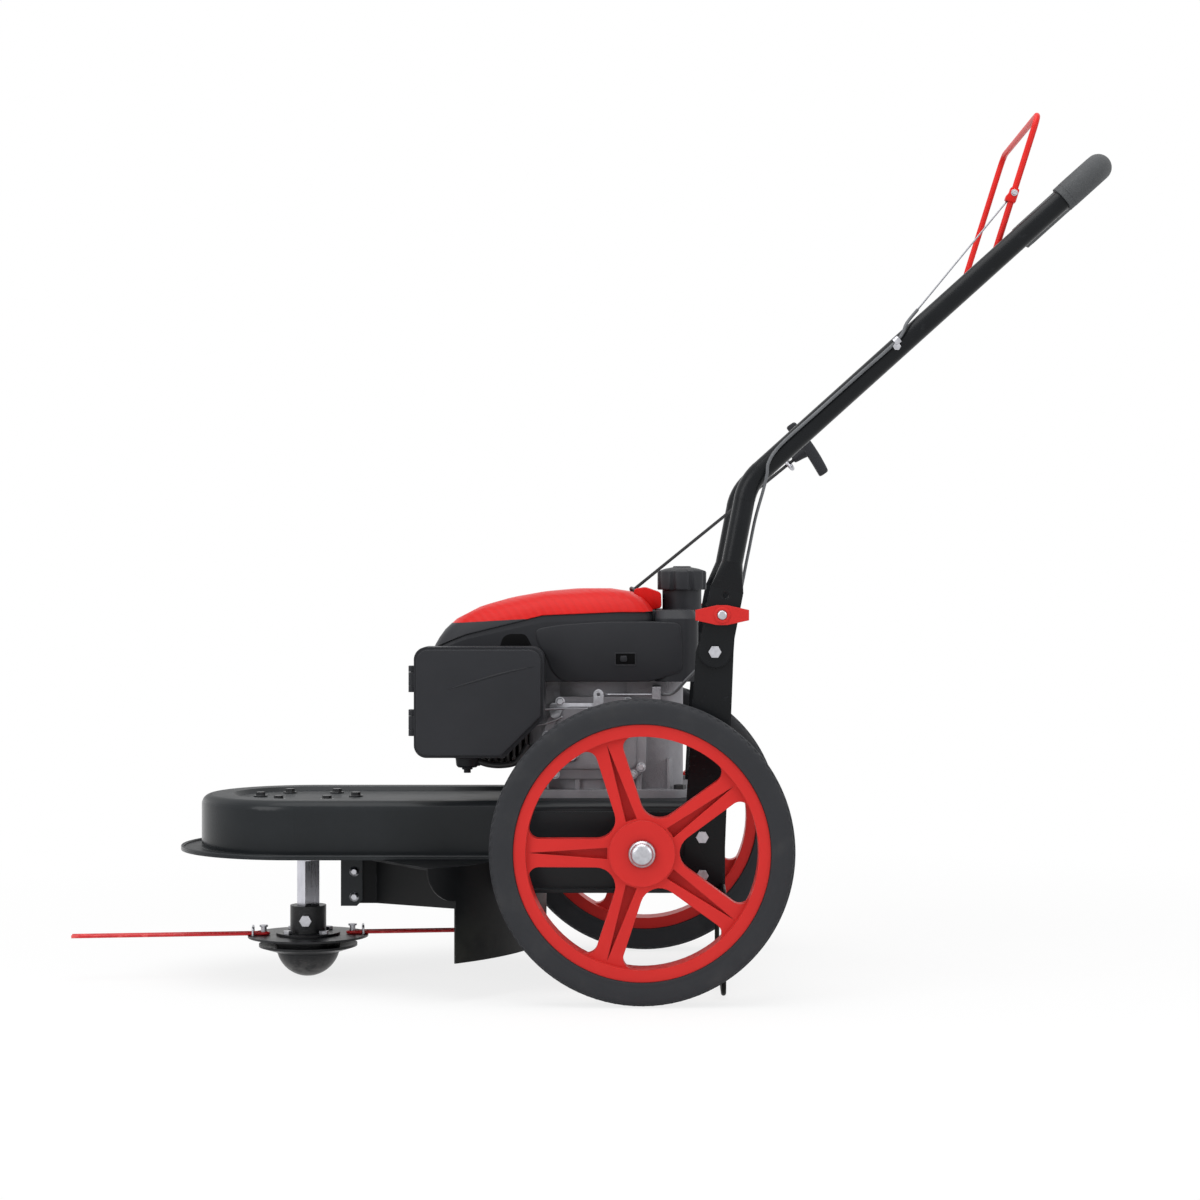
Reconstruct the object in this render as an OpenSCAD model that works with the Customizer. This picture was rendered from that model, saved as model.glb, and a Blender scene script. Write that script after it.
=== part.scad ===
// Wheeled string trimmer, millimetres, +Z up, front towards -X, left side towards -Y.
// Heights are measured from the ground and lengths along X from the axle; place() then moves
// the whole machine so that the origin lies under the middle of its box.

/* [Wheels] */
// Diameter of the tyre
wheel_d = 350; // [320:1:370]
// Width of the tyre
tyre_w = 45; // [40:1:50]
// Distance between the middles of the two tyres
track = 460; // [450:1:500]
// Diameter of the rim lip that shows beside the tyre
rim_lip_d = 293; // [280:1:300]
// Width of the rim across its two lips
rim_w = 38; // [34:1:40]
// Diameter inside the rim ring, where the windows end
rim_ring_d = 265; // [250:1:270]
// Width of one spoke
spoke_w = 32; // [26:1:36]
// Diameter of the hub
hub_d = 75; // [66:1:84]
// Diameter of the axle
axle_d = 14; // [12:1:16]
// Number of tread notches on each shoulder
tread_notches = 36; // [24:1:48]

/* [Trimmer head] */
// Distance from the axle forward to the spindle
spindle_reach = 412; // [400:1:430]
// Radius of the glide dome
dome_r = 39; // [36:1:42]
// Height of the glide dome
dome_h = 29; // [26:1:32]
// Radius of the small flat that the dome stands on
dome_flat_r = 8; // [6:1:10]
// Diameter of the lower dish
dish_d = 120; // [110:1:130]
// Diameter of the line plate
line_plate_d = 147; // [140:1:160]
// Height of the line plate's top above the ground
line_plate_z = 50; // [48:1:54]
// Diameter of the collar round the drive bar
collar_d = 44; // [40:1:48]
// Height of the collar
collar_h = 36; // [32:1:40]
// Width across the flats of the square drive bar
bar_w = 20; // [18:1:22]
// Diameter of the nylon line
line_d = 4; // [3:0.5:4.5]
// Distance from the spindle to the tips of the line
line_reach = 285; // [270:1:287]

/* [Deck] */
// Half width of the deck, and radius of its round front
deck_half_w = 129; // [122:1:136]
// Height of the deck's lower edge above the ground
deck_bottom_z = 157; // [152:1:160]
// Height of the deck
deck_h = 67; // [64:1:76]
// Thickness of the deck sheet
sheet_t = 3; // [2:0.5:3]
// Width of the flange round the lower edge
lip_w = 25; // [18:1:30]
// Radius of the rolled shoulder
shoulder_r = 12; // [8:1:16]
// Half width of the recessed top panel
recess_half_w = 92; // [84:1:100]
// Depth of the recessed top panel
recess_depth = 5; // [3:0.5:6]
// Distance from the axle back to the rear edge of the deck
deck_rear = 97; // [90:1:110]
// Distance from the axle forward to the end of the flange
lip_end = 150; // [148:1:160]
// Radius of the bolt circle round the spindle
deck_bolt_r = 58.5; // [54:0.5:62]

/* [Chassis] */
// Thickness of the side plates and the uprights
plate_t = 4; // [3:0.5:5]
// Distance from the axle forward to the front edge of the side plates
plate_front = 145; // [130:1:147]
// Height of the lower edge of the side plates
plate_bottom_z = 118; // [110:1:126]
// Width of the upright at its foot
upright_foot_w = 50; // [44:1:56]
// Width of the upright at the handle pivot
upright_top_w = 44; // [40:1:48]
// Distance from the axle back to the middle of the upright's foot
upright_foot_x = 70; // [66:1:71]
// Diameter of the rod of the rear stand
stand_d = 6; // [5:0.5:8]
// Distance from the middle of the machine to a leg of the rear stand
stand_half_w = 193; // [185:1:196]

/* [Debris guard] */
// Inner radius of the guard wall round the spindle
guard_r = 290; // [290:1:293]
// Thickness of the guard sheet
guard_t = 2.5; // [2:0.5:3]
// Height of the wall's lower edge above the ground
guard_bottom_z = 45; // [40:1:60]
// Angle from the rear that the wall reaches at its top
guard_top_angle = 55; // [52:1:58]
// Angle from the rear that the wall reaches at its bottom
guard_low_angle = 47.5; // [45:0.5:50]

/* [Handle] */
// Outside diameter of the handle tube
tube_d = 25; // [22:1:26]
// Wall of the handle tube
tube_wall = 2; // [1.5:0.5:3]
// Distance between the two sides of the handle, centre to centre
handle_span = 362; // [360:1:372]
// Distance from the axle back to the handle pivot
pivot_x = 84; // [80:1:86]
// Height of the handle pivot
pivot_z = 402; // [396:1:420]
// Length from the pivot to the elbow
lower_len = 200; // [190:1:220]
// Lean of the lower section from upright, degrees
lower_lean = 11; // [10:1:13]
// Length from the elbow to the cross bar
upper_len = 559; // [530:1:580]
// Rise of the upper section from level, degrees
upper_rise = 42; // [38:1:46]
// Radius of the elbow and of the two upper corners
handle_bend_r = 60; // [50:1:64]
// Diameter of the grip sleeve
grip_d = 32; // [29:1:34]
// Distance from the pivot to the wing knob
knob_reach = 43.7; // [42:0.1:46]
// Length of the wing knob
knob_len = 62; // [54:1:66]

/* [Bail] */
// Diameter of the bail rod
bail_d = 7.5; // [6:0.5:8]
// Distance between the two legs of the bail, centre to centre
bail_span = 320; // [312:1:324]
// Length of the bail legs
bail_len = 184; // [180:1:188]
// Distance from the elbow to the bail pivot along the handle
bail_reach = 384; // [382:1:386]
// Lean of the released bail from upright, degrees
bail_lean = 17.5; // [17:0.5:20]

/* [Engine] */
// Distance from the axle forward to the crankshaft
crank_reach = 60; // [58:1:62]
// Height of the crankcase
case_h = 140; // [136:1:142]
// Half width of the crankcase
case_half_w = 86; // [80:1:90]
// Half width of the blower shroud
shroud_half_w = 100; // [92:1:101]
// Height of the red cover's crown above the crankcase
crown_h = 111; // [108:1:114]
// Drop of the cover towards its nose
nose_drop = 44; // [36:1:48]
// Height of the red cover's rim
cover_rim_h = 28; // [16:1:34]
// Diameter of the fuel cap
fuel_cap_d = 60; // [56:1:64]
// Length of the air filter box
filter_len = 152; // [146:1:156]
// Height of the air filter box
filter_h = 130; // [120:1:134]
// Diameter of the starter rope
rope_d = 4; // [3:0.5:5]
// Length of the starter grip
starter_grip_len = 79; // [70:1:84]

/* [Hidden] */
$fn = 48;
// Running clearance of shafts and pins in their bores
run_gap = 0.05;
// Clearance between seated pieces
seat_gap = 0.1;
// Clearance between pieces that move past each other
pass_gap = 0.5;
// Overrun of cuts past the faces that they open
overrun = 2;
// Thickness of the end slices that blends are drawn between
slice = 0.2;
// Step between a drawn tube and the bend or neck that it runs into
seam = 0.2;

// Wheel sizes
axle_z = wheel_d / 2;
rim_flange_t = 4;
rim_seat_depth = 6;
rim_seat_r = rim_lip_d / 2 - rim_seat_depth;
hub_out = 23;
hub_in = 25;
web_back = 6;
web_front_hub = 18;
web_front_rim = 12;
window_corner_r = 12;
window_root_r = 22;
groove_w = 13;
groove_depth = 7;
groove_end_gap = 3;
spokes = 5;
spoke_step = 360 / spokes;
tyre_shoulder_r = 9;
tyre_groove_w = 3;
tyre_groove_depth = 2.5;
tyre_groove_place = 7;
notch_w = 5;
notch_depth = 2;
notch_reach = 9;
bush_wall = 4;
bush_flange_t = 2.5;
bush_flange_w = 4.5;
bush_len = 16;
cap_wall = 2;
cap_flange_w = 2;
cap_h = 9;
spacer_wall = 3;

// Head sizes, upwards from the ground
spindle_x = -spindle_reach;
dome_centre_z = sqrt(dome_r * dome_r - dome_flat_r * dome_flat_r);
dome_rim_r = sqrt(dome_r * dome_r - (dome_h - dome_centre_z) * (dome_h - dome_centre_z));
dish_rise = 7;
dish_t = 3;
line_plate_t = 2.5;
collar_flange_d = 78;
collar_flange_t = 3;
collar_bolt_r = 31;
bar_turn = 36;
bar_foot_gap = 4;
cross_bolt_share = 0.53;
cross_bolt_z = line_plate_z + collar_h * cross_bolt_share;
post_r = 3.5;
post_h = 10;
post_reach = 54;
post_head_r = 5.2;
post_head_h = 2;
staple_reach = 67;
staple_half_w = 11;
staple_d = 3;
staple_bend_r = 3;
line_z = line_plate_z + line_d / 2 + seat_gap;
line_gap_r = post_r + line_d / 2 + pass_gap;
line_turn = 187;
line_rings = 8;
line_sides = 8;

// Bolt sizes
m6_r = 3;
m6_head_w = 10;
m6_head_h = 4;
m8_r = 4;
m8_head_w = 13;
m8_head_h = 5.5;
washer_t = 1.6;
washer_share = 0.85;

// Deck sizes
deck_top_z = deck_bottom_z + deck_h;
panel_top_z = deck_top_z - recess_depth;
panel_low_z = panel_top_z - sheet_t;
recess_end = -170;
crank_x = -crank_reach;
crank_hole_r = 22;
deck_bolt_count = 6;

// Belt drive sizes
drive_pulley_r = 30;
spindle_pulley_r = 34;
pulley_h = 16;
pulley_flange_w = 4;
pulley_flange_t = 2.5;
pulley_gap = 4;
belt_w = 10;
belt_t = 7;
pulley_z = panel_low_z - pulley_gap - pulley_h;
belt_z = pulley_z + pulley_h / 2 - belt_w / 2;
shaft_r = 8.5;
bearing_r = 20;
bearing_h = 12;
bearing_inset = 2;
housing_plate_r = 72;
housing_plate_t = 6;
housing_boss_r = 30;
housing_boss_h = 46;
housing_post_r = 8;
housing_gap = 5;
housing_top_z = pulley_z - housing_gap;
housing_low_z = housing_top_z - housing_boss_h;
shaft_collar_r = 14;
belt_guard_z = deck_bottom_z + sheet_t;
belt_guard_rear = deck_rear - 2 * sheet_t;

// Chassis sizes
side_in = deck_half_w;
side_out = side_in + plate_t;
flange_w = 14;
boss_plate_r = 26;
upright_low_z = plate_bottom_z + 2 * overrun;
jog_rise = 16;
jog_len = 60;
jog_low_z = deck_top_z + jog_rise;
jog_high_z = jog_low_z + jog_len;
plate_end_t = 5;
upright_out = handle_span / 2 - plate_end_t - pass_gap;
upright_top_r = 16.5;
slot_sweep = 100;
frame_bolt_high_share = 0.5;
frame_bolt_z = deck_bottom_z + (axle_z - deck_bottom_z) * frame_bolt_high_share + deck_h / 4;
frame_bolt_low_z = (plate_bottom_z + deck_bottom_z) / 2;
knob_x = pivot_x + knob_reach * sin(lower_lean);
knob_z = pivot_z + knob_reach * cos(lower_lean);
stand_foot_z = 3;
stand_bend_r = 12;
stand_z = plate_bottom_z + plate_t + stand_d / 2;
stand_x = deck_rear - stand_d / 2;

// Guard sizes
guard_top_z = deck_bottom_z;
guard_plate_in_r = 140;
wing_bottom_in_z = 100;
wing_bottom_out_z = 115;
wing_reach = 60;
wing_bend_reach = 94;
wing_x = spindle_x + wing_reach;
wing_bend_x = spindle_x + wing_bend_reach;
wing_y = 97;
bracket_w = 26;
bracket_t = 3;
bracket_h = 60;
bracket_cut = 7;
bracket_tab = 26;
bracket_tab_w = 12;
guard_bolt_drops = [19, 49];
guard_bolt_inset = 8;
guard_bolt_head_r = 6;
guard_bolt_head_h = 4;

// Handle sizes
tube_r = tube_d / 2;
side_y = handle_span / 2;
elbow_angle = 90 - upper_rise - lower_lean;
elbow_tan = handle_bend_r * tan(elbow_angle / 2);
end_w = 39;
end_top = 74;
neck_top = 106;
end_hole_reach = 66.5;
end_hole_r = 3.2;
elbow_x = pivot_x + lower_len * sin(lower_lean);
elbow_z = pivot_z + lower_len * cos(lower_lean);
cross_x = elbow_x + upper_len * cos(upper_rise);
cross_z = elbow_z + upper_len * sin(upper_rise);
grip_lead = 8;
knob_boss_r = 11;
knob_boss_h = 8;
knob_wing_t = 9;
knob_wing_h = 23;
knob_mid_w = 12;
knob_tip_h = 12;
knob_nut_h = 6;
pivot_nut_h = 6;

// Bail sizes
bail_r = bail_d / 2;
bail_y = bail_span / 2;
bail_x = elbow_x + bail_reach * cos(upper_rise);
bail_z = elbow_z + bail_reach * sin(upper_rise);
bail_corner_r = 18;
bail_foot_r = 8;
bail_pin_len = 6;
bail_pin_out = side_y - tube_r + tube_wall + bail_pin_len;
hook_share = 0.47;
hook_len = 20;
hook_w = 13;
hook_reach = 12;
hook_t = 8;

// Engine sizes
engine_z = deck_top_z;
shroud_z = engine_z + case_h;
crown_z = shroud_z + crown_h;
case_front = -140;
case_rear = 56;
case_corner_r = 24;
case_flange_w = 8;
case_flange_t = 10;
case_wall = 12;
case_cavity_r = 62;
case_rib_t = 6;
case_ribs = 5;
engine_bolt_inset = 12;
crank_r = 12;
crank_web_r = 46;
crank_web_h = 20;
crank_low_gap = 4;
flywheel_r = 68;
flywheel_h = 26;
flywheel_gap = 10;
cylinder_front = -214;
cylinder_half_w = 52;
cylinder_half_h = 46;
cylinder_core_r = 38;
cylinder_mid_share = 0.58;
cylinder_z = engine_z + case_h * cylinder_mid_share;
fins = 9;
fin_t = 3.2;
fin_corner_r = 14;
head_t = 12;
plug_hex_w = 20;
plug_hex_h = 8;
plug_body_r = 6;
plug_len = 22;
plug_cap_r = 9;
plug_cap_h = 20;
plug_y = 18;
shroud_front = -252;
shroud_rear = 13;
shroud_wall = 3;
shroud_power = 10;
shroud_points = 40;
crown_x = -54;
nose_power = 2.2;
rim_power = 8;
cover_seam = 0.4;
shroud_mid = (shroud_front + shroud_rear) / 2;
shroud_half_len = (shroud_rear - shroud_front) / 2;
tank_gap = 1;
tank_len = 52;
tank_half_w = 100;
tank_h = 85;
tank_corner_r = 18;
tank_shoulder = 10;
tank_wall = 4;
neck_r = 24;
neck_h = 46;
neck_x = 47;
cap_skirt_h = 23;
cap_top_t = 6;
cap_flutes = 24;
flute_r = 2.2;
cap_rise = 24;
fuel_cap_z = shroud_z + tank_h + cap_rise;
carb_w = 30;
carb_h = 46;
carb_in_y = cylinder_half_w;
carb_flange_t = 8;
carb_out_y = 102;
carb_x = -211;
bowl_r = 18;
bowl_h = 22;
bowl_rise = 30;
bowl_low_z = engine_z + bowl_rise;
filter_front = -268;
filter_rise = 53;
filter_low_z = engine_z + filter_rise;
filter_corner_r = 15;
filter_base_t = 8;
filter_base_out = carb_out_y + filter_base_t;
filter_cover_depth = 52;
filter_wall = 2.5;
filter_cut = 46;
filter_face_inset = 7;
element_gap = 8;
element_depth = 30;
hinge_r = 5;
hinge_pin_r = 2;
hinge_h = 16;
hinge_lug_h = 7;
hinge_shares = [0.3, 0.7];
hinge_x = filter_front - hinge_r;
hinge_y = filter_base_out + hinge_r;
muffler_len = 66;
muffler_depth = 58;
muffler_h = 80;
muffler_corner_r = 18;
muffler_gap = 7;
muffler_slots = 6;
muffler_slot_w = 5;
muffler_slot_depth = 3;
muffler_pipe_r = 11;
muffler_pipe_len = 10;
muffler_wall = 3;
lever_x = -53;
lever_rise = 101;
lever_z = engine_z + lever_rise;
lever_w = 12;
lever_len = 24;
lever_t = 3;
lever_pin_r = 4;
lever_boss_r = 8;
lever_boss_gap = 16;
lever_hole_r = 2.2;
stop_x = 16;
stop_rise = 125;
stop_z = engine_z + stop_rise;
stop_len = 10;
stop_w = 18;
stop_reach = 26;

// Starter rope, grip and guide sizes
rope_r = rope_d / 2;
rope_exit_x = -14;
rope_exit_y = 40;
rope_lift = 1.2;
guide_reach = 71;
guide_drop = 16;
guide_in = 23;
starter_gap = 32;
starter_axis_shares = [0.77, -0.2, 0.6];
starter_dir = starter_axis_shares / norm(starter_axis_shares);
guide_foot = [elbow_x + guide_reach * cos(upper_rise), side_y, elbow_z + guide_reach * sin(upper_rise)];
guide_place = guide_foot + [guide_drop * sin(upper_rise), -guide_in, -guide_drop * cos(upper_rise)];
starter_grip_place = guide_place + starter_gap * starter_dir;
starter_grip_r = 7.5;
starter_stem_r = 5.5;
starter_stem_len = 16;
guide_ring_r = 8;
guide_wire_r = 2.5;

// Control cable route along the handle tube and down to the brake lever
cable_d = 5;
wire_d = 2;
cable_sides = 8;
cable_route = [
  [320, -172, 800], [306, -190, 783], [294, -195, 762], [247, -195, 720], [200, -195, 678], [160, -195, 642],
  [146, -197, 622], [144, -197, 608], [140, -190, 590], [131, -172, 556], [122, -160, 510], [110, -152, 456],
  [86, -144, 406], [52, -128, 368], [36, -108, 351], [22, -104, 349]
];
cable_steps = 2;
clip_t = 2;
clip_screw_r = 4;
clip_len = 7;
clip_point = 2;

// The machine is moved along X so that the origin lies under the middle of its box.
front_end = spindle_x - deck_half_w - lip_w;
rear_end = cross_x + grip_d / 2;
origin_x = -(front_end + rear_end) / 2;

// Shared helpers

module place() translate([origin_x, 0, 0]) children();

module up(z) translate([0, 0, z]) children();

module along_y() rotate([-90, 0, 0]) children();

module both_sides() {
  children();
  mirror([0, 1, 0]) children();
}

function polar(r, a) = [r * cos(a), r * sin(a)];

// Round bar between two points
module rod(from, to, r) {
  v = to - from;
  translate(from)
    rotate([0, acos(v[2] / norm(v)), atan2(v[1], v[0])])
      cylinder(h = norm(v), r = r);
}

// Straight tube along +Z; no bore when the inner radius is zero
module pipe(h, outer_r, inner_r = 0) {
  linear_extrude(h) difference() {
    circle(outer_r);
    if (inner_r > 0) circle(inner_r);
  }
}

// Tube that starts along +Z and bends towards +X
module pipe_bend(bend_r, angle, outer_r, inner_r = 0) {
  translate([bend_r, 0, 0]) rotate([90, 0, 0]) rotate([0, 0, 180 - angle])
    rotate_extrude(angle = angle) translate([bend_r, 0]) difference() {
      circle(outer_r);
      if (inner_r > 0) circle(inner_r);
    }
}

// Rectangle with round corners, given by its X reach and half width
module rounded_area(x0, x1, half_w, r) {
  translate([x0 + r, -half_w]) square([x1 - x0 - 2 * r, 2 * half_w]);
  translate([x0, r - half_w]) square([x1 - x0, 2 * half_w - 2 * r]);
  for (x = [x0 + r, x1 - r], y = [r - half_w, half_w - r]) translate([x, y]) circle(r);
}

// Hexagon prism by its width across flats
module hex(w, h) cylinder(h = h, d = w / cos(30), $fn = 6);

// Bolt with its head above z = 0 and its shank below
module hex_bolt(r, len, head_w, head_h) {
  hex(head_w, head_h);
  up(-len) cylinder(h = len, r = r);
}

// Closed skin over a chain of rings with equal point counts, capped at both ends
module skin(rings) {
  n = len(rings[0]);
  m = len(rings);
  points = [for (ring = rings) for (p = ring) p];
  sides = [for (k = [0 : m - 2]) for (i = [0 : n - 1]) for (half = [0, 1])
    half == 0
      ? [k * n + i, (k + 1) * n + i, k * n + (i + 1) % n]
      : [k * n + (i + 1) % n, (k + 1) * n + i, (k + 1) * n + (i + 1) % n]];
  first = [for (i = [0 : n - 1]) i];
  last = [for (i = [n - 1 : -1 : 0]) (m - 1) * n + i];
  polyhedron(points, concat(sides, [first], [last]));
}

// Frame across a path at one of its points, kept upright by the side direction
function path_dir(path, i) =
  let (a = path[max(i - 1, 0)], b = path[min(i + 1, len(path) - 1)]) (b - a) / norm(b - a);

function path_ring(path, i, r, sides, side_dir) =
  let (t = path_dir(path, i), u0 = cross(t, side_dir), u = u0 / norm(u0), v = cross(t, u))
  [for (k = [0 : sides - 1]) path[i] + r * (u * cos(k * 360 / sides) + v * sin(k * 360 / sides))];

// Tube swept along a path of points
module swept_tube(path, r, sides, side_dir) {
  skin([for (i = [0 : len(path) - 1]) path_ring(path, i, r, sides, side_dir)]);
}

// Smooth curve through the route's points
function spline_point(a, b, c, d, t) =
  0.5 * (2 * b + (c - a) * t + (2 * a - 5 * b + 4 * c - d) * t * t + (3 * b - a - 3 * c + d) * t * t * t);

function smooth_path(route, steps) =
  let (n = len(route))
  [for (i = [0 : n - 2]) for (k = [0 : (i == n - 2 ? steps : steps - 1)])
    spline_point(route[max(i - 1, 0)], route[i], route[i + 1], route[min(i + 2, n - 1)], k / steps)];

// Wheels, built on their own axis with +Z pointing away from the machine

module on_axle(side) {
  place() translate([0, side * track / 2, axle_z]) rotate([-90 * side, 0, 0]) children();
}

module rim_section() {
  hub_bore_r = axle_d / 2 + bush_wall;
  ring_r = rim_ring_d / 2;
  lip_r = rim_lip_d / 2;
  half = rim_w / 2;
  translate([hub_bore_r, -hub_in]) square([hub_d / 2 - hub_bore_r, hub_in + hub_out]);
  polygon([
    [hub_bore_r, -web_back], [rim_seat_r, -web_back], [rim_seat_r, web_front_rim],
    [hub_d / 2, web_front_hub], [hub_bore_r, web_front_hub]
  ]);
  polygon([
    [ring_r, -half], [lip_r, -half], [lip_r, rim_flange_t - half], [rim_seat_r, rim_flange_t - half],
    [rim_seat_r, half - rim_flange_t], [lip_r, half - rim_flange_t], [lip_r, half], [ring_r, half]
  ]);
}

function arc(centre, r, from, to, steps) =
  [for (i = [0 : steps]) centre + polar(r, from + (to - from) * i / steps)];

// One window between two spokes, on the bisector: a round root, two round corners and an outer arc
module spoke_window() {
  half = spoke_w / 2;
  ring_r = rim_ring_d / 2 + seam;
  side_a = spoke_step / 2 + 90;
  root = [(half + window_root_r) / sin(spoke_step / 2), 0];
  corner_a = spoke_step / 2 - asin((half + window_corner_r) / (ring_r - window_corner_r));
  corner = polar(ring_r - window_corner_r, corner_a);
  polygon(concat(
    arc(root, window_root_r, side_a, 360 - side_a, 8),
    arc([corner[0], -corner[1]], window_corner_r, -side_a, -corner_a, 8),
    arc([0, 0], ring_r, -corner_a, corner_a, 12),
    arc(corner, window_corner_r, corner_a, side_a, 8)
  ));
}

module rim() {
  groove_tip = rim_ring_d / 2 - groove_end_gap;
  groove_root = hub_d / 2 + overrun;
  color("firebrick") difference() {
    rotate_extrude() rim_section();
    for (i = [0 : spokes - 1]) rotate([0, 0, 180 + i * spoke_step]) {
      rotate([0, 0, spoke_step / 2]) up(-hub_in - overrun)
        linear_extrude(hub_in + hub_out + 2 * overrun) spoke_window();
      up(web_front_rim - groove_depth) linear_extrude(hub_out)
        polygon([[groove_root, -groove_w / 2], [groove_tip, 0], [groove_root, groove_w / 2]]);
    }
  }
}

module tyre_section() {
  tyre_r = wheel_d / 2;
  lip_r = rim_lip_d / 2 + seat_gap;
  bead_half = rim_w / 2 - rim_flange_t - seat_gap;
  difference() {
    union() {
      translate([rim_seat_r + seat_gap, -bead_half])
        square([rim_seat_depth + tyre_shoulder_r, 2 * bead_half]);
      translate([lip_r, -tyre_w / 2]) square([tyre_r - tyre_shoulder_r - lip_r, tyre_w]);
      translate([lip_r, tyre_shoulder_r - tyre_w / 2])
        square([tyre_r - lip_r, tyre_w - 2 * tyre_shoulder_r]);
      for (z = [tyre_shoulder_r - tyre_w / 2, tyre_w / 2 - tyre_shoulder_r])
        translate([tyre_r - tyre_shoulder_r, z]) circle(tyre_shoulder_r);
    }
    for (z = [-tyre_groove_place, tyre_groove_place])
      translate([tyre_r - tyre_groove_depth, z - tyre_groove_w / 2])
        square([tyre_groove_depth + overrun, tyre_groove_w]);
  }
}

module tyre() {
  color("dimgray") difference() {
    rotate_extrude() tyre_section();
    for (i = [0 : tread_notches - 1], side = [-1, 1])
      rotate([0, 0, (i + side / 4) * 360 / tread_notches])
        translate([wheel_d / 2 - notch_depth - tyre_shoulder_r / 2, -notch_w / 2, side * tyre_w / 2])
          up(-notch_reach / 2)
            cube([notch_depth + tyre_shoulder_r, notch_w, notch_reach]);
  }
}

// Two flanged bushes that carry the hub on the axle
module bushes() {
  inner_r = axle_d / 2 + run_gap;
  outer_r = axle_d / 2 + bush_wall - run_gap;
  color("dimgray") {
    up(hub_out - bush_len) pipe(bush_len, outer_r, inner_r);
    up(hub_out) pipe(bush_flange_t, outer_r + bush_flange_w, inner_r);
    up(-hub_in) pipe(bush_len, outer_r, inner_r);
    up(-hub_in - bush_flange_t) pipe(bush_flange_t, outer_r + bush_flange_w, inner_r);
  }
}

module left_rim() on_axle(-1) rim();
module right_rim() on_axle(1) rim();
module left_tyre() on_axle(-1) tyre();
module right_tyre() on_axle(1) tyre();
module left_bushes() on_axle(-1) bushes();
module right_bushes() on_axle(1) bushes();

// Outer end of the axle, beyond the outer bush, where the cap sits
axle_tip = track / 2 + hub_out + bush_flange_t + pass_gap + cap_h - cap_wall;

module axle() {
  color("silver") place() translate([0, -axle_tip, axle_z]) along_y()
    cylinder(h = 2 * axle_tip, d = axle_d);
}

// Spacer tubes between the side plates and the hubs, and domed caps on the axle's ends
module axle_fittings() {
  spacer_end = track / 2 - hub_in - bush_flange_t - pass_gap;
  cap_r = axle_d / 2 + seat_gap + cap_wall;
  color("silver") for (side = [-1, 1]) on_axle(side) {
    up(side_out + plate_t - track / 2)
      pipe(spacer_end - side_out - plate_t, axle_d / 2 + spacer_wall, axle_d / 2 + seat_gap);
    up(axle_tip - track / 2 - cap_h + cap_wall) difference() {
      union() {
        cylinder(h = cap_wall, r = cap_r + cap_flange_w);
        cylinder(h = cap_h - cap_wall, r = cap_r);
        up(cap_h - cap_wall) cylinder(h = cap_wall, r1 = cap_r, r2 = cap_r - cap_wall);
      }
      up(-overrun)
        cylinder(h = cap_h - cap_wall + overrun + seat_gap, r = axle_d / 2 + seat_gap);
    }
  }
}

// Deck

module shoulder_block(w, h, r) {
  square([w, h - r]);
  square([w - r, h]);
  translate([w - r, h - r]) circle(r);
}

module recess_area(h) {
  floor_h = h - recess_depth;
  polygon([[0, h], [recess_half_w, h], [recess_half_w - recess_depth, floor_h], [0, floor_h]]);
}

// Half cross section of the pressed deck, from its middle line outwards
module deck_section(recess, lip) {
  translate([0, deck_bottom_z]) {
    difference() {
      shoulder_block(deck_half_w, deck_h, shoulder_r);
      difference() {
        shoulder_block(deck_half_w - sheet_t, deck_h - sheet_t, shoulder_r - sheet_t);
        if (recess) recess_area(deck_h - sheet_t);
      }
      if (recess) recess_area(deck_h);
    }
    if (lip) translate([deck_half_w - sheet_t, 0]) square([lip_w + sheet_t, sheet_t]);
  }
}

// Stretch of the deck between two places along X
module deck_run(x0, x1, recess, lip) {
  translate([x0, 0, 0]) rotate([90, 0, 90]) linear_extrude(x1 - x0) {
    deck_section(recess, lip);
    mirror([1, 0]) deck_section(recess, lip);
  }
}

module at_deck_bolts() {
  for (i = [0 : deck_bolt_count - 1]) {
    p = polar(deck_bolt_r, i * 360 / deck_bolt_count);
    translate([spindle_x + p[0], p[1], panel_top_z]) children();
  }
}

module at_engine_bolts() {
  for (x = [case_front + engine_bolt_inset, case_rear - engine_bolt_inset], side = [-1, 1])
    translate([x, side * (case_half_w - engine_bolt_inset), engine_z + case_flange_t]) children();
}

module at_frame_bolts() {
  for (z = [frame_bolt_low_z, frame_bolt_z]) translate([upright_foot_x, -side_out - plate_t, z])
    rotate([90, 0, 0]) children();
}

module deck_shell() {
  inner_w = deck_half_w - sheet_t;
  color("#2a2d31") place() difference() {
    union() {
      translate([spindle_x, 0, 0]) rotate([0, 0, 90]) rotate_extrude(angle = 180) deck_section(true, true);
      deck_run(spindle_x, recess_end, true, true);
      deck_run(recess_end, -lip_end, false, true);
      deck_run(-lip_end, deck_rear, false, false);
      translate([recess_end, -recess_half_w, panel_low_z])
        cube([sheet_t, 2 * recess_half_w, recess_depth + sheet_t]);
      translate([deck_rear - sheet_t, -inner_w, deck_bottom_z + sheet_t])
        cube([sheet_t, 2 * inner_w, deck_h - shoulder_r - sheet_t]);
    }
    at_deck_bolts() up(-sheet_t - overrun)
      cylinder(h = sheet_t + 2 * overrun, r = m6_r + seat_gap);
    at_engine_bolts() up(-case_flange_t - sheet_t - overrun)
      cylinder(h = sheet_t + 2 * overrun, r = m8_r + seat_gap);
    translate([crank_x, 0, deck_top_z - sheet_t - overrun])
      cylinder(h = sheet_t + 2 * overrun, r = crank_hole_r);
    translate([0, -deck_half_w - overrun, axle_z]) along_y()
      cylinder(h = 2 * (deck_half_w + overrun), r = axle_d / 2 + seat_gap);
    both_sides() at_frame_bolts() up(-2 * plate_t - sheet_t - overrun)
      cylinder(h = 2 * plate_t + sheet_t + 2 * overrun, r = m8_r + seat_gap);
  }
}

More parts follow.
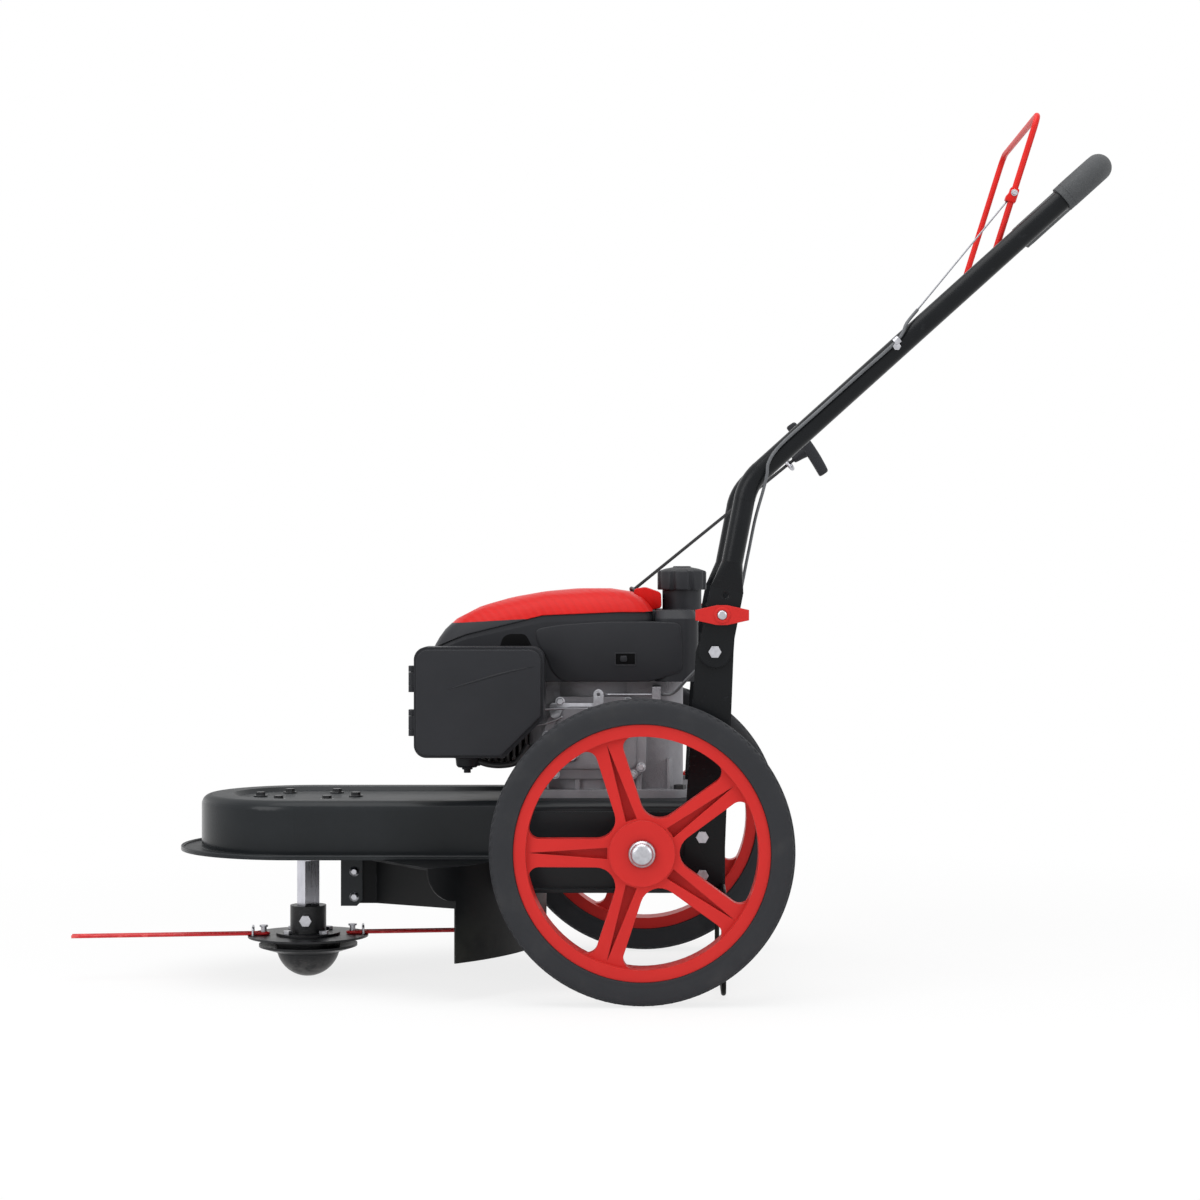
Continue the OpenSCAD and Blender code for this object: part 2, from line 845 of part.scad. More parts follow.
// Flat plate that closes the belt space from below
module belt_guard() {
  half = deck_half_w - sheet_t - seat_gap;
  color("#33363a") place() difference() {
    up(belt_guard_z) linear_extrude(guard_t) {
      translate([spindle_x, 0]) circle(half);
      translate([spindle_x, -half]) square([spindle_reach + belt_guard_rear, 2 * half]);
    }
    translate([spindle_x, 0, belt_guard_z - overrun])
      cylinder(h = guard_t + 2 * overrun, r = housing_boss_r + seat_gap);
  }
}

// Six bolts of the bearing housing with washers, and four engine bolts
module deck_bolts() {
  color("silver") place() {
    at_deck_bolts() {
      cylinder(h = washer_t, r = m6_head_w * washer_share);
      up(washer_t) hex_bolt(m6_r, washer_t + sheet_t + housing_post_r, m6_head_w, m6_head_h);
    }
    at_engine_bolts() hex_bolt(m8_r, case_flange_t + 2 * sheet_t, m8_head_w, m8_head_h);
  }
}

// Belt drive under the deck

module bearing_housing() {
  post_low = housing_top_z - panel_top_z;
  post_len = panel_low_z - housing_top_z;
  color("#77797c") place() difference() {
    union() {
      translate([spindle_x, 0, housing_top_z - housing_plate_t])
        cylinder(h = housing_plate_t, r = housing_plate_r);
      translate([spindle_x, 0, housing_low_z]) cylinder(h = housing_boss_h, r = housing_boss_r);
      at_deck_bolts() up(post_low) cylinder(h = post_len, r = housing_post_r);
    }
    translate([spindle_x, 0, housing_low_z - overrun])
      cylinder(h = housing_boss_h + 2 * overrun, r = bearing_r + run_gap);
    at_deck_bolts() up(post_low) cylinder(h = post_len + overrun, r = m6_r + seat_gap);
  }
}

module spindle_bearings() {
  color("silver") place() translate([spindle_x, 0, 0])
    for (z = [housing_low_z + bearing_inset, housing_top_z - bearing_inset - bearing_h])
      up(z) pipe(bearing_h, bearing_r, shaft_r + run_gap);
}

// Grooved pulley for the flat-sided belt
module pulley(pitch_r, bore_r) {
  rim_r = pitch_r + belt_t / 2 + pulley_flange_w;
  seat_r = pitch_r - belt_t / 2 - pass_gap;
  color("#8b8d90") rotate_extrude() polygon([
    [bore_r, 0], [rim_r, 0], [rim_r, pulley_flange_t - pass_gap], [seat_r, pulley_flange_t],
    [seat_r, pulley_h - pulley_flange_t], [rim_r, pulley_h - pulley_flange_t + pass_gap],
    [rim_r, pulley_h], [bore_r, pulley_h]
  ]);
}

module drive_pulley() place() translate([crank_x, 0, pulley_z]) pulley(drive_pulley_r, crank_r);
module spindle_pulley() place() translate([spindle_x, 0, pulley_z]) pulley(spindle_pulley_r, shaft_r);

// Area inside a loop round the two pulleys, with straight runs that touch both circles
module belt_loop(grow) {
  hull() {
    translate([crank_x, 0]) circle(drive_pulley_r + grow);
    translate([spindle_x, 0]) circle(spindle_pulley_r + grow);
  }
}

module drive_belt() {
  color("#1d1d1f") place() up(belt_z) linear_extrude(belt_w) difference() {
    belt_loop(belt_t / 2);
    belt_loop(-belt_t / 2);
  }
}

// Chassis

module side_plate() {
  color("#2a2d31") place() difference() {
    union() {
      translate([-plate_front, -side_out, plate_bottom_z])
        cube([plate_front + deck_rear, plate_t, deck_top_z - shoulder_r - plate_bottom_z]);
      translate([-plate_front, -side_out - flange_w, plate_bottom_z])
        cube([plate_front + deck_rear, flange_w, plate_t]);
      translate([0, -side_out, axle_z]) rotate([90, 0, 0]) cylinder(h = plate_t, r = boss_plate_r);
    }
    translate([0, -side_out - plate_t - overrun, axle_z]) along_y()
      cylinder(h = 2 * (plate_t + overrun), r = axle_d / 2 + seat_gap);
    at_frame_bolts() up(-2 * plate_t - overrun)
      cylinder(h = 2 * (plate_t + overrun), r = m8_r + seat_gap);
  }
}

module left_side_plate() side_plate();
module right_side_plate() mirror([0, 1, 0]) side_plate();

// Outline of the upright seen from the side, before it is bent
module upright_outline() {
  polygon([
    [upright_foot_x - upright_foot_w / 2, upright_low_z],
    [upright_foot_x + upright_foot_w / 2, upright_low_z],
    [pivot_x + upright_top_w / 2, pivot_z], [knob_x + upright_top_r, knob_z],
    [knob_x - upright_top_r, knob_z], [pivot_x - upright_top_w / 2, pivot_z]
  ]);
  translate([knob_x, knob_z]) circle(upright_top_r);
}

// Edge view of the upright: bolted flat below, set outwards by a slanted jog above
module upright_bend() {
  low = side_out;
  high = upright_out - plate_t;
  top_z = knob_z + upright_top_r + overrun;
  polygon([
    [low, upright_low_z], [low + plate_t, upright_low_z], [low + plate_t, jog_low_z],
    [high + plate_t, jog_high_z], [high + plate_t, top_z], [high, top_z], [high, jog_high_z], [low, jog_low_z]
  ]);
}

// The locking stud leaves through an arc slot that opens at the front edge when the handle folds
module upright() {
  slot_r = m8_r + pass_gap;
  color("#222428") place() difference() {
    intersection() {
      rotate([90, 0, 0]) linear_extrude(side_y) upright_outline();
      mirror([0, 1, 0]) rotate([90, 0, 90]) linear_extrude(pivot_x + upright_foot_w) upright_bend();
    }
    translate([pivot_x, -side_y, pivot_z]) along_y()
      cylinder(h = side_y - side_out, r = m8_r + seat_gap);
    translate([knob_x, -side_y, knob_z]) along_y() cylinder(h = side_y - side_out, r = slot_r);
    translate([pivot_x, -side_out, pivot_z]) rotate([90, 0, 0]) rotate([0, 0, 90 - lower_lean])
      rotate_extrude(angle = slot_sweep) translate([knob_reach - slot_r, 0])
        square([2 * slot_r, side_y - side_out]);
    at_frame_bolts() up(-plate_t - overrun)
      cylinder(h = plate_t + 2 * overrun, r = m8_r + seat_gap);
  }
}

module left_upright() upright();
module right_upright() mirror([0, 1, 0]) upright();

// Bolts of the uprights with their nuts, and the two handle pivot bolts
module frame_bolts() {
  grip_t = 2 * plate_t + sheet_t;
  pivot_head_y = side_y + seat_gap * 3;
  pivot_nut_y = upright_out - plate_t;
  color("silver") both_sides() place() {
    at_frame_bolts() hex_bolt(m8_r, grip_t + m8_head_h, m8_head_w, m8_head_h);
    translate([upright_foot_x, -deck_half_w, frame_bolt_low_z]) along_y()
      hex(m8_head_w, m8_head_h);
    translate([upright_foot_x, sheet_t - deck_half_w, frame_bolt_z]) along_y()
      hex(m8_head_w, m8_head_h);
    translate([pivot_x, -pivot_head_y, pivot_z]) rotate([90, 0, 0])
      hex_bolt(m8_r, pivot_head_y - pivot_nut_y + pivot_nut_h, m8_head_w, m8_head_h);
    translate([pivot_x, -pivot_nut_y, pivot_z]) along_y()
      hex(m8_head_w, pivot_nut_h);
  }
}

// Bent rod behind the wheels that keeps the machine from tipping back
module rear_stand() {
  r = stand_d / 2;
  leg_top = stand_z - stand_bend_r;
  leg_low = stand_foot_z + r + stand_bend_r;
  color("#222428") both_sides() place() translate([stand_x, -stand_half_w, 0]) {
    up(leg_low) cylinder(h = leg_top - leg_low, r = r);
    up(leg_top) rotate([0, 0, 90]) pipe_bend(stand_bend_r, 90, r);
    translate([0, stand_bend_r, stand_z]) along_y()
      cylinder(h = stand_half_w - stand_bend_r - side_out - plate_t, r = r);
    up(leg_low) rotate([180, 0, 0]) rotate([0, 0, -90]) pipe_bend(stand_bend_r, 90, r);
    translate([0, stand_bend_r, stand_foot_z + r]) along_y()
      cylinder(h = stand_half_w - stand_bend_r, r = r);
  }
}

// Debris guard

// One side's front wing: flat against its bracket, then bent outwards to the end of the wall
module guard_wing_plan() {
  tip = polar(guard_r + guard_t / 2, guard_low_angle);
  tip_x = spindle_x + tip[0];
  run = [tip_x - wing_bend_x, tip[1] - wing_y];
  across = guard_t * [run[1], -run[0]] / norm(run);
  polygon([
    [wing_x, wing_y - guard_t], [wing_x, wing_y], [wing_bend_x, wing_y], [tip_x, tip[1]],
    [tip_x + across[0], tip[1] + across[1]], [wing_bend_x + guard_t / 2, wing_y - guard_t]
  ]);
}

// Curve that takes the front end of the wall from its top angle back to its bottom angle
module guard_end_cut() {
  reach = norm(polar(guard_r, guard_top_angle) - polar(guard_r, guard_low_angle));
  rotate([0, 0, -guard_low_angle]) translate([guard_r / 2, 0, 0]) rotate([90, 0, 90])
    linear_extrude(guard_r) mirror([1, 0]) difference() {
      translate([0, guard_bottom_z - overrun])
        square([2 * reach, guard_top_z - guard_t - guard_bottom_z + overrun]);
      translate([0, guard_top_z - guard_t]) circle(reach);
    }
}

module guard() {
  wall_sweep = 2 * guard_top_angle;
  wing_drop = wing_bottom_out_z - wing_bottom_in_z;
  color("#2a2d31") place() {
    translate([spindle_x, 0, 0]) difference() {
      rotate([0, 0, -guard_top_angle]) rotate_extrude(angle = wall_sweep) {
        translate([guard_r, guard_bottom_z]) square([guard_t, guard_top_z - guard_bottom_z]);
        translate([guard_plate_in_r, guard_top_z - guard_t]) square([guard_r - guard_plate_in_r, guard_t]);
      }
      both_sides() guard_end_cut();
    }
    both_sides() difference() {
      mirror([0, 1, 0]) up(wing_bottom_in_z)
        linear_extrude(guard_top_z - wing_bottom_in_z) guard_wing_plan();
      for (drop = guard_bolt_drops)
        translate([wing_x + guard_bolt_inset, -wing_y - overrun, guard_top_z - drop])
          along_y() cylinder(h = guard_t + 2 * overrun, r = m6_r + seat_gap);
      translate([wing_bend_x, -wing_y, wing_bottom_in_z]) rotate([90, 0, 0])
        linear_extrude(guard_r) polygon([
          [0, 0], [guard_r, wing_drop * guard_r / (guard_r - wing_y)], [guard_r, -overrun], [0, -overrun]
        ]);
    }
  }
}

// Angle brackets that hang the wings from the deck's lower edge
module guard_bracket() {
  x0 = wing_x - guard_bolt_inset;
  low = guard_top_z - bracket_h;
  color("#3a3d41") place() difference() {
    union() {
      translate([x0, -wing_y, low]) rotate([90, 0, 0]) linear_extrude(bracket_t) polygon([
        [0, 0], [bracket_w - bracket_cut, 0], [bracket_w, bracket_cut], [bracket_w, bracket_h], [0, bracket_h]
      ]);
      translate([x0, -wing_y - bracket_tab, guard_top_z - bracket_t])
        cube([bracket_tab_w, bracket_tab, bracket_t]);
    }
    for (drop = guard_bolt_drops)
      translate([wing_x + guard_bolt_inset, -wing_y - bracket_t - overrun, guard_top_z - drop])
        along_y() cylinder(h = bracket_t + 2 * overrun, r = m6_r + seat_gap);
  }
}

module guard_brackets() both_sides() guard_bracket();

module guard_bolts() {
  grip_t = bracket_t + guard_t;
  color("silver") both_sides() place() for (drop = guard_bolt_drops)
    translate([wing_x + guard_bolt_inset, -wing_y - bracket_t, guard_top_z - drop]) rotate([90, 0, 0]) {
      cylinder(h = guard_bolt_head_h, r1 = guard_bolt_head_r, r2 = guard_bolt_head_r / 2);
      up(-grip_t - m6_head_h) cylinder(h = grip_t + m6_head_h, r = m6_r);
      up(-grip_t - m6_head_h) hex(m6_head_w, m6_head_h);
    }
}

// Trimmer head

module on_spindle() place() translate([spindle_x, 0, 0]) children();

// Hole through collar and bar for the cross bolt
module cross_hole() {
  translate([0, -collar_d, cross_bolt_z]) along_y() cylinder(h = 2 * collar_d, r = m8_r + seat_gap);
}

// Turned shaft in the bearings, square bar below
module spindle_shaft() {
  bar_foot = line_plate_z + collar_flange_t + bar_foot_gap;
  shoulder_z = housing_low_z - bearing_inset;
  color("silver") on_spindle() difference() {
    union() {
      up(shoulder_z) cylinder(h = pulley_z + pulley_h - shoulder_z, r = shaft_r);
      up(shoulder_z - bearing_inset) cylinder(h = 2 * bearing_inset, r = shaft_collar_r);
      rotate([0, 0, bar_turn]) translate([-bar_w / 2, -bar_w / 2, bar_foot])
        cube([bar_w, bar_w, shoulder_z - bar_foot]);
    }
    cross_hole();
  }
}

module head_collar() {
  bore_w = bar_w + 2 * seat_gap;
  color("#26282b") on_spindle() difference() {
    union() {
      up(line_plate_z) cylinder(h = collar_h, d = collar_d);
      up(line_plate_z) cylinder(h = collar_flange_t, d = collar_flange_d);
    }
    rotate([0, 0, bar_turn]) translate([-bore_w / 2, -bore_w / 2, line_plate_z + collar_flange_t])
      cube([bore_w, bore_w, collar_h + overrun]);
    cross_hole();
    at_head_bolts() up(-overrun)
      cylinder(h = collar_flange_t + 2 * overrun, r = m6_r + seat_gap);
  }
}

module at_head_bolts() {
  for (a = [45 : 90 : 315]) rotate([0, 0, a]) translate([collar_bolt_r, 0, line_plate_z]) children();
}

module line_plate() {
  color("#a9abae") on_spindle() difference() {
    up(line_plate_z - line_plate_t) cylinder(h = line_plate_t, d = line_plate_d);
    at_head_bolts() up(-line_plate_t - overrun)
      cylinder(h = line_plate_t + 2 * overrun, r = m6_r + seat_gap);
  }
}

// Dished plate under the line plate, with a boss that fills the gap between the two
module glide_dish() {
  under_z = line_plate_z - line_plate_t;
  edge_z = dome_h + dish_rise;
  boss_r = collar_flange_d / 2;
  color("#8f9194") on_spindle() difference() {
    rotate_extrude() polygon([
      [0, dome_h], [dome_rim_r, dome_h], [dish_d / 2, edge_z], [dish_d / 2, edge_z + dish_t],
      [dome_rim_r + dish_t, dome_h + dish_t], [boss_r, dome_h + dish_t], [boss_r, under_z], [0, under_z]
    ]);
    at_head_bolts() up(dome_h - line_plate_z - overrun)
      cylinder(h = line_plate_z - dome_h + overrun, r = m6_r + seat_gap);
  }
}

module glide_dome() {
  color("#2b2d30") on_spindle() rotate_extrude() intersection() {
    translate([0, dome_centre_z]) circle(dome_r);
    square([dome_r, dome_h]);
  }
}

// Four clamp bolts through collar, plate and dish, and the cross bolt through collar and bar
module head_bolts() {
  color("silver") on_spindle() {
    at_head_bolts() up(collar_flange_t)
      hex_bolt(m6_r, collar_flange_t + line_plate_z - dome_h - seat_gap, m6_head_w, m6_head_h);
    translate([0, -collar_d / 2, cross_bolt_z]) rotate([90, 0, 0])
      hex_bolt(m8_r, collar_d + m8_head_h, m8_head_w, m8_head_h);
    translate([0, collar_d / 2, cross_bolt_z]) along_y() hex(m8_head_w, m8_head_h);
  }
}

module along_line() on_spindle() for (a = [line_turn, line_turn + 180]) rotate([0, 0, a]) children();

// A headed post that each line loops round, and a wire staple over its two strands
module line_posts() {
  r = staple_d / 2;
  staple_top = post_h - staple_bend_r;
  color("silver") along_line() up(line_plate_z) {
    translate([post_reach, 0, 0]) cylinder(h = post_h, r = post_r);
    translate([post_reach, 0, post_h]) cylinder(h = post_head_h, r = post_head_r);
    for (side = [-1, 1]) translate([staple_reach, side * staple_half_w, 0]) {
      cylinder(h = staple_top, r = r);
      up(staple_top) rotate([0, 0, -90 * side]) pipe_bend(staple_bend_r, 90, r);
    }
    translate([staple_reach, staple_bend_r - staple_half_w, post_h]) along_y()
      cylinder(h = 2 * (staple_half_w - staple_bend_r), r = r);
  }
}

// One folded line: in along one strand, round the post and out along the other
function line_path() =
  let (step = (line_reach - post_reach) / line_rings)
  concat(
    [for (i = [0 : line_rings - 1]) [line_reach - i * step, -line_gap_r, line_z]],
    [for (a = [270 : -30 : 90]) [post_reach + line_gap_r * cos(a), line_gap_r * sin(a), line_z]],
    [for (i = [line_rings - 1 : -1 : 0]) [line_reach - i * step, line_gap_r, line_z]]
  );

module trimmer_lines() {
  color("#b02a2e") along_line() swept_tube(line_path(), line_d / 2, line_sides, [0, 0, 1]);
}

// Handle

// Frame of the lower section: +Z runs up the tube from the pivot
module on_lower(side = -1) {
  place() translate([pivot_x, side * side_y, pivot_z]) rotate([0, lower_lean, 0]) children();
}

// Frame of the upper section: +Z runs up the tubes to the middle of the cross bar
module on_upper() place() translate([cross_x, 0, cross_z]) rotate([0, 90 - upper_rise, 0]) children();

// Upper tubes, corners and cross bar as a solid bar, with a given length of tube below the corners
module handle_top(r, lead) {
  on_upper() {
    both_sides() translate([0, -side_y, -handle_bend_r]) {
      up(-lead) cylinder(h = lead, r = r - seam);
      rotate([0, 0, 90]) pipe_bend(handle_bend_r, 90, r);
    }
    translate([0, handle_bend_r - side_y, 0]) along_y()
      cylinder(h = 2 * (side_y - handle_bend_r), r = r);
  }
}

// Whole run of the tube as a solid bar, from a height above the pivot
module handle_run(r, start) {
  both_sides() on_lower() {
    up(start) cylinder(h = lower_len - elbow_tan - start, r = r - seam);
    up(lower_len - elbow_tan) pipe_bend(handle_bend_r, elbow_angle, r);
  }
  handle_top(r, upper_len - elbow_tan - handle_bend_r + slice);
}

// Flattened lower end of the left tube, with its neck
module handle_end() {
  plate_y = side_y - upright_out - pass_gap - plate_end_t;
  on_lower() {
    translate([0, plate_y + plate_end_t, 0]) rotate([90, 0, 0]) linear_extrude(plate_end_t) {
      circle(end_w / 2);
      translate([-end_w / 2, 0]) square([end_w, end_top]);
    }
    hull() {
      translate([seam - end_w / 2, plate_y + seam, end_top - slice])
        cube([end_w - 2 * seam, plate_end_t - 2 * seam, slice]);
      up(neck_top) cylinder(h = slice, r = tube_r - 2 * seam, $fn = 32);
    }
  }
}

module handle_tube() {
  color("#1b1c1f") difference() {
    union() {
      handle_run(tube_r, neck_top);
      both_sides() handle_end();
    }
    handle_run(tube_r - tube_wall, neck_top + tube_wall);
    both_sides() on_lower()
      for (hole = [[0, m8_r + run_gap], [knob_reach, m8_r + run_gap], [end_hole_reach, end_hole_r]])
        translate([0, -tube_r, hole[0]]) along_y() cylinder(h = tube_d, r = hole[1]);
    both_sides() place() translate([bail_x, -side_y, bail_z]) along_y()
      cylinder(h = tube_d, r = bail_r + run_gap);
  }
}

module grip_sleeve() {
  color("#3b3d40") difference() {
    handle_top(grip_d / 2, grip_lead);
    handle_top(tube_r + seat_gap, 2 * grip_lead);
  }
}

// Wing knob with its stud and captive nut
module wing_knob(side) {
  stud_len = plate_end_t + plate_t + pass_gap + knob_nut_h;
  color("firebrick") place() translate([knob_x, side * side_y, knob_z]) rotate([-90 * side, 0, 0]) {
    up(seat_gap * 3) cylinder(h = knob_boss_h, r = knob_boss_r);
    up(knob_boss_h - knob_wing_t / 2) linear_extrude(knob_wing_t) {
      wing = [[knob_len, knob_tip_h], [knob_mid_w, knob_wing_h]] / 2;
      polygon([
        wing[0], wing[1], [-wing[1][0], wing[1][1]], [-wing[0][0], wing[0][1]],
        -wing[0], -wing[1], [wing[1][0], -wing[1][1]], [wing[0][0], -wing[0][1]]
      ]);
    }
    up(-stud_len) cylinder(h = stud_len + knob_boss_h, r = m8_r);
    up(-stud_len - seat_gap * 3) hex(m8_head_w, knob_nut_h);
  }
}

module left_wing_knob() wing_knob(-1);
module right_wing_knob() wing_knob(1);

// Rope guide eye on the right tube, and the screw and open clip that hold the cable on the left one
module handle_fittings() {
  clip = cable_route[clip_point];
  clip_r = cable_d / 2 + seat_gap + clip_t;
  to_foot = (guide_foot - guide_place) / norm(guide_foot - guide_place);
  color("silver") place() {
    translate(guide_place) rotate([0, acos(starter_dir[2]), atan2(starter_dir[1], starter_dir[0])])
      rotate_extrude() translate([guide_ring_r, 0]) circle(guide_wire_r);
    rod(guide_place + guide_ring_r * to_foot, guide_foot - (tube_r + seat_gap) * to_foot, guide_wire_r);
  }
  color("silver") difference() {
    place() {
      translate(clip) rotate([0, 90 - upper_rise, 0]) up(-clip_len / 2)
        pipe(clip_len, clip_r, cable_d / 2 + seat_gap);
      translate([clip[0], -side_y, clip[2] - clip_r - clip_screw_r / 2]) rotate([90, 0, 0]) {
        cylinder(h = tube_r + clip_t, r = clip_screw_r);
        up(tube_r + clip_t) hex(2 * clip_screw_r, clip_t);
      }
    }
    handle_run(tube_r + seat_gap, neck_top);
    control_cable();
  }
}

module control_cable() {
  path = smooth_path(cable_route, cable_steps);
  color("#9a9ca0") place() swept_tube(path, cable_d / 2, cable_sides, [0, 1, 0]);
}

// Bare ends of the inner wire: up to the bail hook, and on to the brake lever
module control_wire() {
  top = cable_route[0];
  low = cable_route[len(cable_route) - 1];
  hook = hook_point();
  color("silver") place() {
    rod(top + (hook - top) / norm(hook - top) * wire_d / 2, hook, wire_d / 2);
    rod(low - [wire_d / 2, 0, 0], [lever_x + lever_w / 2 + slice, low[1], lever_z + lever_len], wire_d / 2);
  }
}

// Bail

module on_bail() place() translate([bail_x, 0, bail_z]) rotate([0, bail_lean, 0]) children();

module bail() {
  color("firebrick") both_sides() on_bail() translate([0, -bail_y, 0]) {
    up(bail_foot_r) cylinder(h = bail_len - bail_corner_r - bail_foot_r, r = bail_r);
    up(bail_foot_r) rotate([180, 0, 0]) rotate([0, 0, 90]) pipe_bend(bail_foot_r, 90, bail_r);
    translate([0, bail_y - bail_pin_out, 0]) along_y()
      cylinder(h = bail_pin_out - bail_y - bail_foot_r, r = bail_r);
    up(bail_len - bail_corner_r) rotate([0, 0, 90]) pipe_bend(bail_corner_r, 90, bail_r);
    translate([0, bail_corner_r, bail_len]) along_y()
      cylinder(h = bail_y - bail_corner_r, r = bail_r);
  }
}

// Place where the inner wire hooks on, on the front of the bail's left leg
function hook_point() =
  let (along = bail_len * hook_share, out = bail_r + hook_reach / 2, c = cos(bail_lean), s = sin(bail_lean))
  [bail_x + along * s - out * c, -bail_y, bail_z + along * c + out * s];

module bail_hook() {
  color("firebrick") on_bail() translate([0, -bail_y, bail_len * hook_share]) difference() {
    union() {
      up(-hook_len / 2) cylinder(h = hook_len, d = hook_w);
      translate([-bail_r - hook_reach, -hook_t / 2, -hook_len / 2]) cube([hook_reach, hook_t, hook_len]);
    }
    up(-hook_len) cylinder(h = 2 * hook_len, r = bail_r);
    translate([-bail_r - hook_reach / 2, -hook_t, 0]) along_y() cylinder(h = 2 * hook_t, r = wire_d);
    translate([-bail_r - hook_reach - overrun, -wire_d, -hook_len]) cube([hook_reach, 2 * wire_d, hook_len]);
  }
}

// Engine

module crankcase() {
  cavity_z = engine_z + 2 * case_flange_t;
  top_z = shroud_z - case_wall;
  body_half_w = case_half_w - 2 * engine_bolt_inset;
  rib_pitch = (case_rear - case_front - 2 * case_corner_r) / (case_ribs - 1);
  color("#6e6c70") place() difference() {
    union() {
      up(engine_z) linear_extrude(case_flange_t)
        rounded_area(case_front, case_rear, case_half_w, case_corner_r);
      up(engine_z) linear_extrude(case_h)
        rounded_area(case_front, case_rear - case_flange_w, body_half_w, case_corner_r);
      translate([crank_x, 0, engine_z]) cylinder(h = case_h, r = case_cavity_r + case_wall);
      for (i = [0 : case_ribs - 1]) {
        rib_x = case_front + case_corner_r + i * rib_pitch;
        translate([rib_x - case_rib_t / 2, case_flange_w - case_half_w, engine_z])
          cube([case_rib_t, 2 * (case_half_w - case_flange_w), case_h / 3]);
      }
      translate([lever_x, -case_half_w - lever_boss_gap, lever_z]) along_y()
        cylinder(h = case_half_w, r = lever_boss_r);
      translate([lever_x, -case_half_w - lever_boss_gap - 2 * lever_t, lever_z]) along_y()
        cylinder(h = case_half_w, r = lever_pin_r);
      translate([stop_x - stop_len / 2, -case_half_w - stop_reach, stop_z - stop_w / 2])
        cube([stop_len, case_half_w, stop_w]);
    }
    translate([crank_x, 0, cavity_z]) cylinder(h = top_z - cavity_z, r = case_cavity_r);
    translate([crank_x, 0, engine_z - overrun])
      cylinder(h = case_h + 2 * overrun, r = crank_r + run_gap);
    at_engine_bolts() up(-case_flange_t - overrun)
      cylinder(h = case_flange_t + 2 * overrun, r = m8_r + seat_gap);
    at_engine_bolts() cylinder(h = case_h, r = m8_head_w);
    translate([stop_x - stop_len, cable_route[len(cable_route) - 1][1], stop_z]) rotate([0, 90, 0])
      cylinder(h = 2 * stop_len, r = wire_d);
  }
}

// Finned cylinder and head, lying forwards
module cylinder_block() {
  pitch = (case_front - cylinder_front - head_t - fin_t) / (fins - 1);
  color("#8a898c") place() up(cylinder_z) difference() {
    rotate([0, -90, 0]) {
      up(-case_front) cylinder(h = case_front - cylinder_front, r = cylinder_core_r);
      for (i = [0 : fins - 1]) up(i * pitch - case_front) linear_extrude(fin_t)
        rounded_area(-cylinder_half_h, cylinder_half_h, cylinder_half_w, fin_corner_r);
      up(-cylinder_front - head_t) linear_extrude(head_t)
        rounded_area(-cylinder_half_h, cylinder_half_h, cylinder_half_w, fin_corner_r);
    }
    translate([cylinder_front - overrun, plug_y, 0]) rotate([0, 90, 0])
      cylinder(h = head_t + overrun, r = plug_body_r + seat_gap);
  }
}

module spark_plug() {
  color("gainsboro") place() translate([cylinder_front, plug_y, cylinder_z]) rotate([0, -90, 0]) {
    up(-head_t) cylinder(h = head_t + plug_len, r = plug_body_r);
    hex(plug_hex_w, plug_hex_h);
    up(plug_len) cylinder(h = plug_cap_h, r = plug_cap_r);
  }
}

// Height of the cover's middle line along the machine
function crown_line(x) =
  crown_z - nose_drop * pow(max(0, (crown_x - x) / (crown_x - shroud_front)), nose_power);

// Point of the shroud's plan outline, shrunk about its middle by a share
function plan_point(share, a, inset = 0) =
  [
    shroud_mid + share * (shroud_half_len - inset) * sign(cos(a)) * pow(abs(cos(a)), 2 / shroud_power),
    share * (shroud_half_w - inset) * sign(sin(a)) * pow(abs(sin(a)), 2 / shroud_power)
  ];

// Share of the plan outline that a place lies on, and the place where the rope leaves the cover
function plan_share(x, y) =
  pow(pow(abs(x - shroud_mid) / shroud_half_len, shroud_power) + pow(abs(y) / shroud_half_w, shroud_power),
    1 / shroud_power);

function rope_exit() =
  let (drop = cover_rim_h * pow(plan_share(rope_exit_x, rope_exit_y), rim_power))
  [rope_exit_x, rope_exit_y, crown_line(rope_exit_x) - drop + rope_lift];

// Ring on the red cover: flat over the middle and rolled down to its rim
function cover_ring(share, inset, drop) =
  [for (i = [0 : shroud_points - 1])
    let (p = plan_point(share, i * 360 / shroud_points, inset))
    [p[0], p[1], crown_line(p[0]) - cover_rim_h * pow(share, rim_power) - drop]];

// Ring on the shroud wall at a height share between its foot and its top edge
function wall_ring(share, inset, height_share, drop) =
  [for (i = [0 : shroud_points - 1])
    let (p = plan_point(share, i * 360 / shroud_points, inset), edge = cover_rim_h + cover_seam + drop)
    [p[0], p[1], shroud_z + (crown_line(p[0]) - edge - shroud_z) * height_share]];

module blower_shroud() {
  color("#2e3034") place() skin([
    wall_ring(0.05, shroud_wall, 1, shroud_wall), wall_ring(0.6, shroud_wall, 1, shroud_wall),
    wall_ring(1, shroud_wall, 1, shroud_wall), wall_ring(1, shroud_wall, 0, 0),
    wall_ring(1, 0, 0, 0), wall_ring(1, 0, 0.9, 0), wall_ring(1, shroud_wall / 2, 1, 0),
    wall_ring(0.6, 0, 1, 0), wall_ring(0.05, 0, 1, 0)
  ]);
}

module starter_cover() {
  color("firebrick") place() skin([
    cover_ring(0.05, shroud_wall, shroud_wall), cover_ring(0.7, shroud_wall, shroud_wall),
    cover_ring(0.9, shroud_wall, shroud_wall), cover_ring(1, shroud_wall, 0),
    cover_ring(1, 0, 0), cover_ring(0.985, 0, 0), cover_ring(0.95, 0, 0), cover_ring(0.9, 0, 0),
    cover_ring(0.8, 0, 0), cover_ring(0.6, 0, 0), cover_ring(0.35, 0, 0), cover_ring(0.05, 0, 0)
  ]);
}

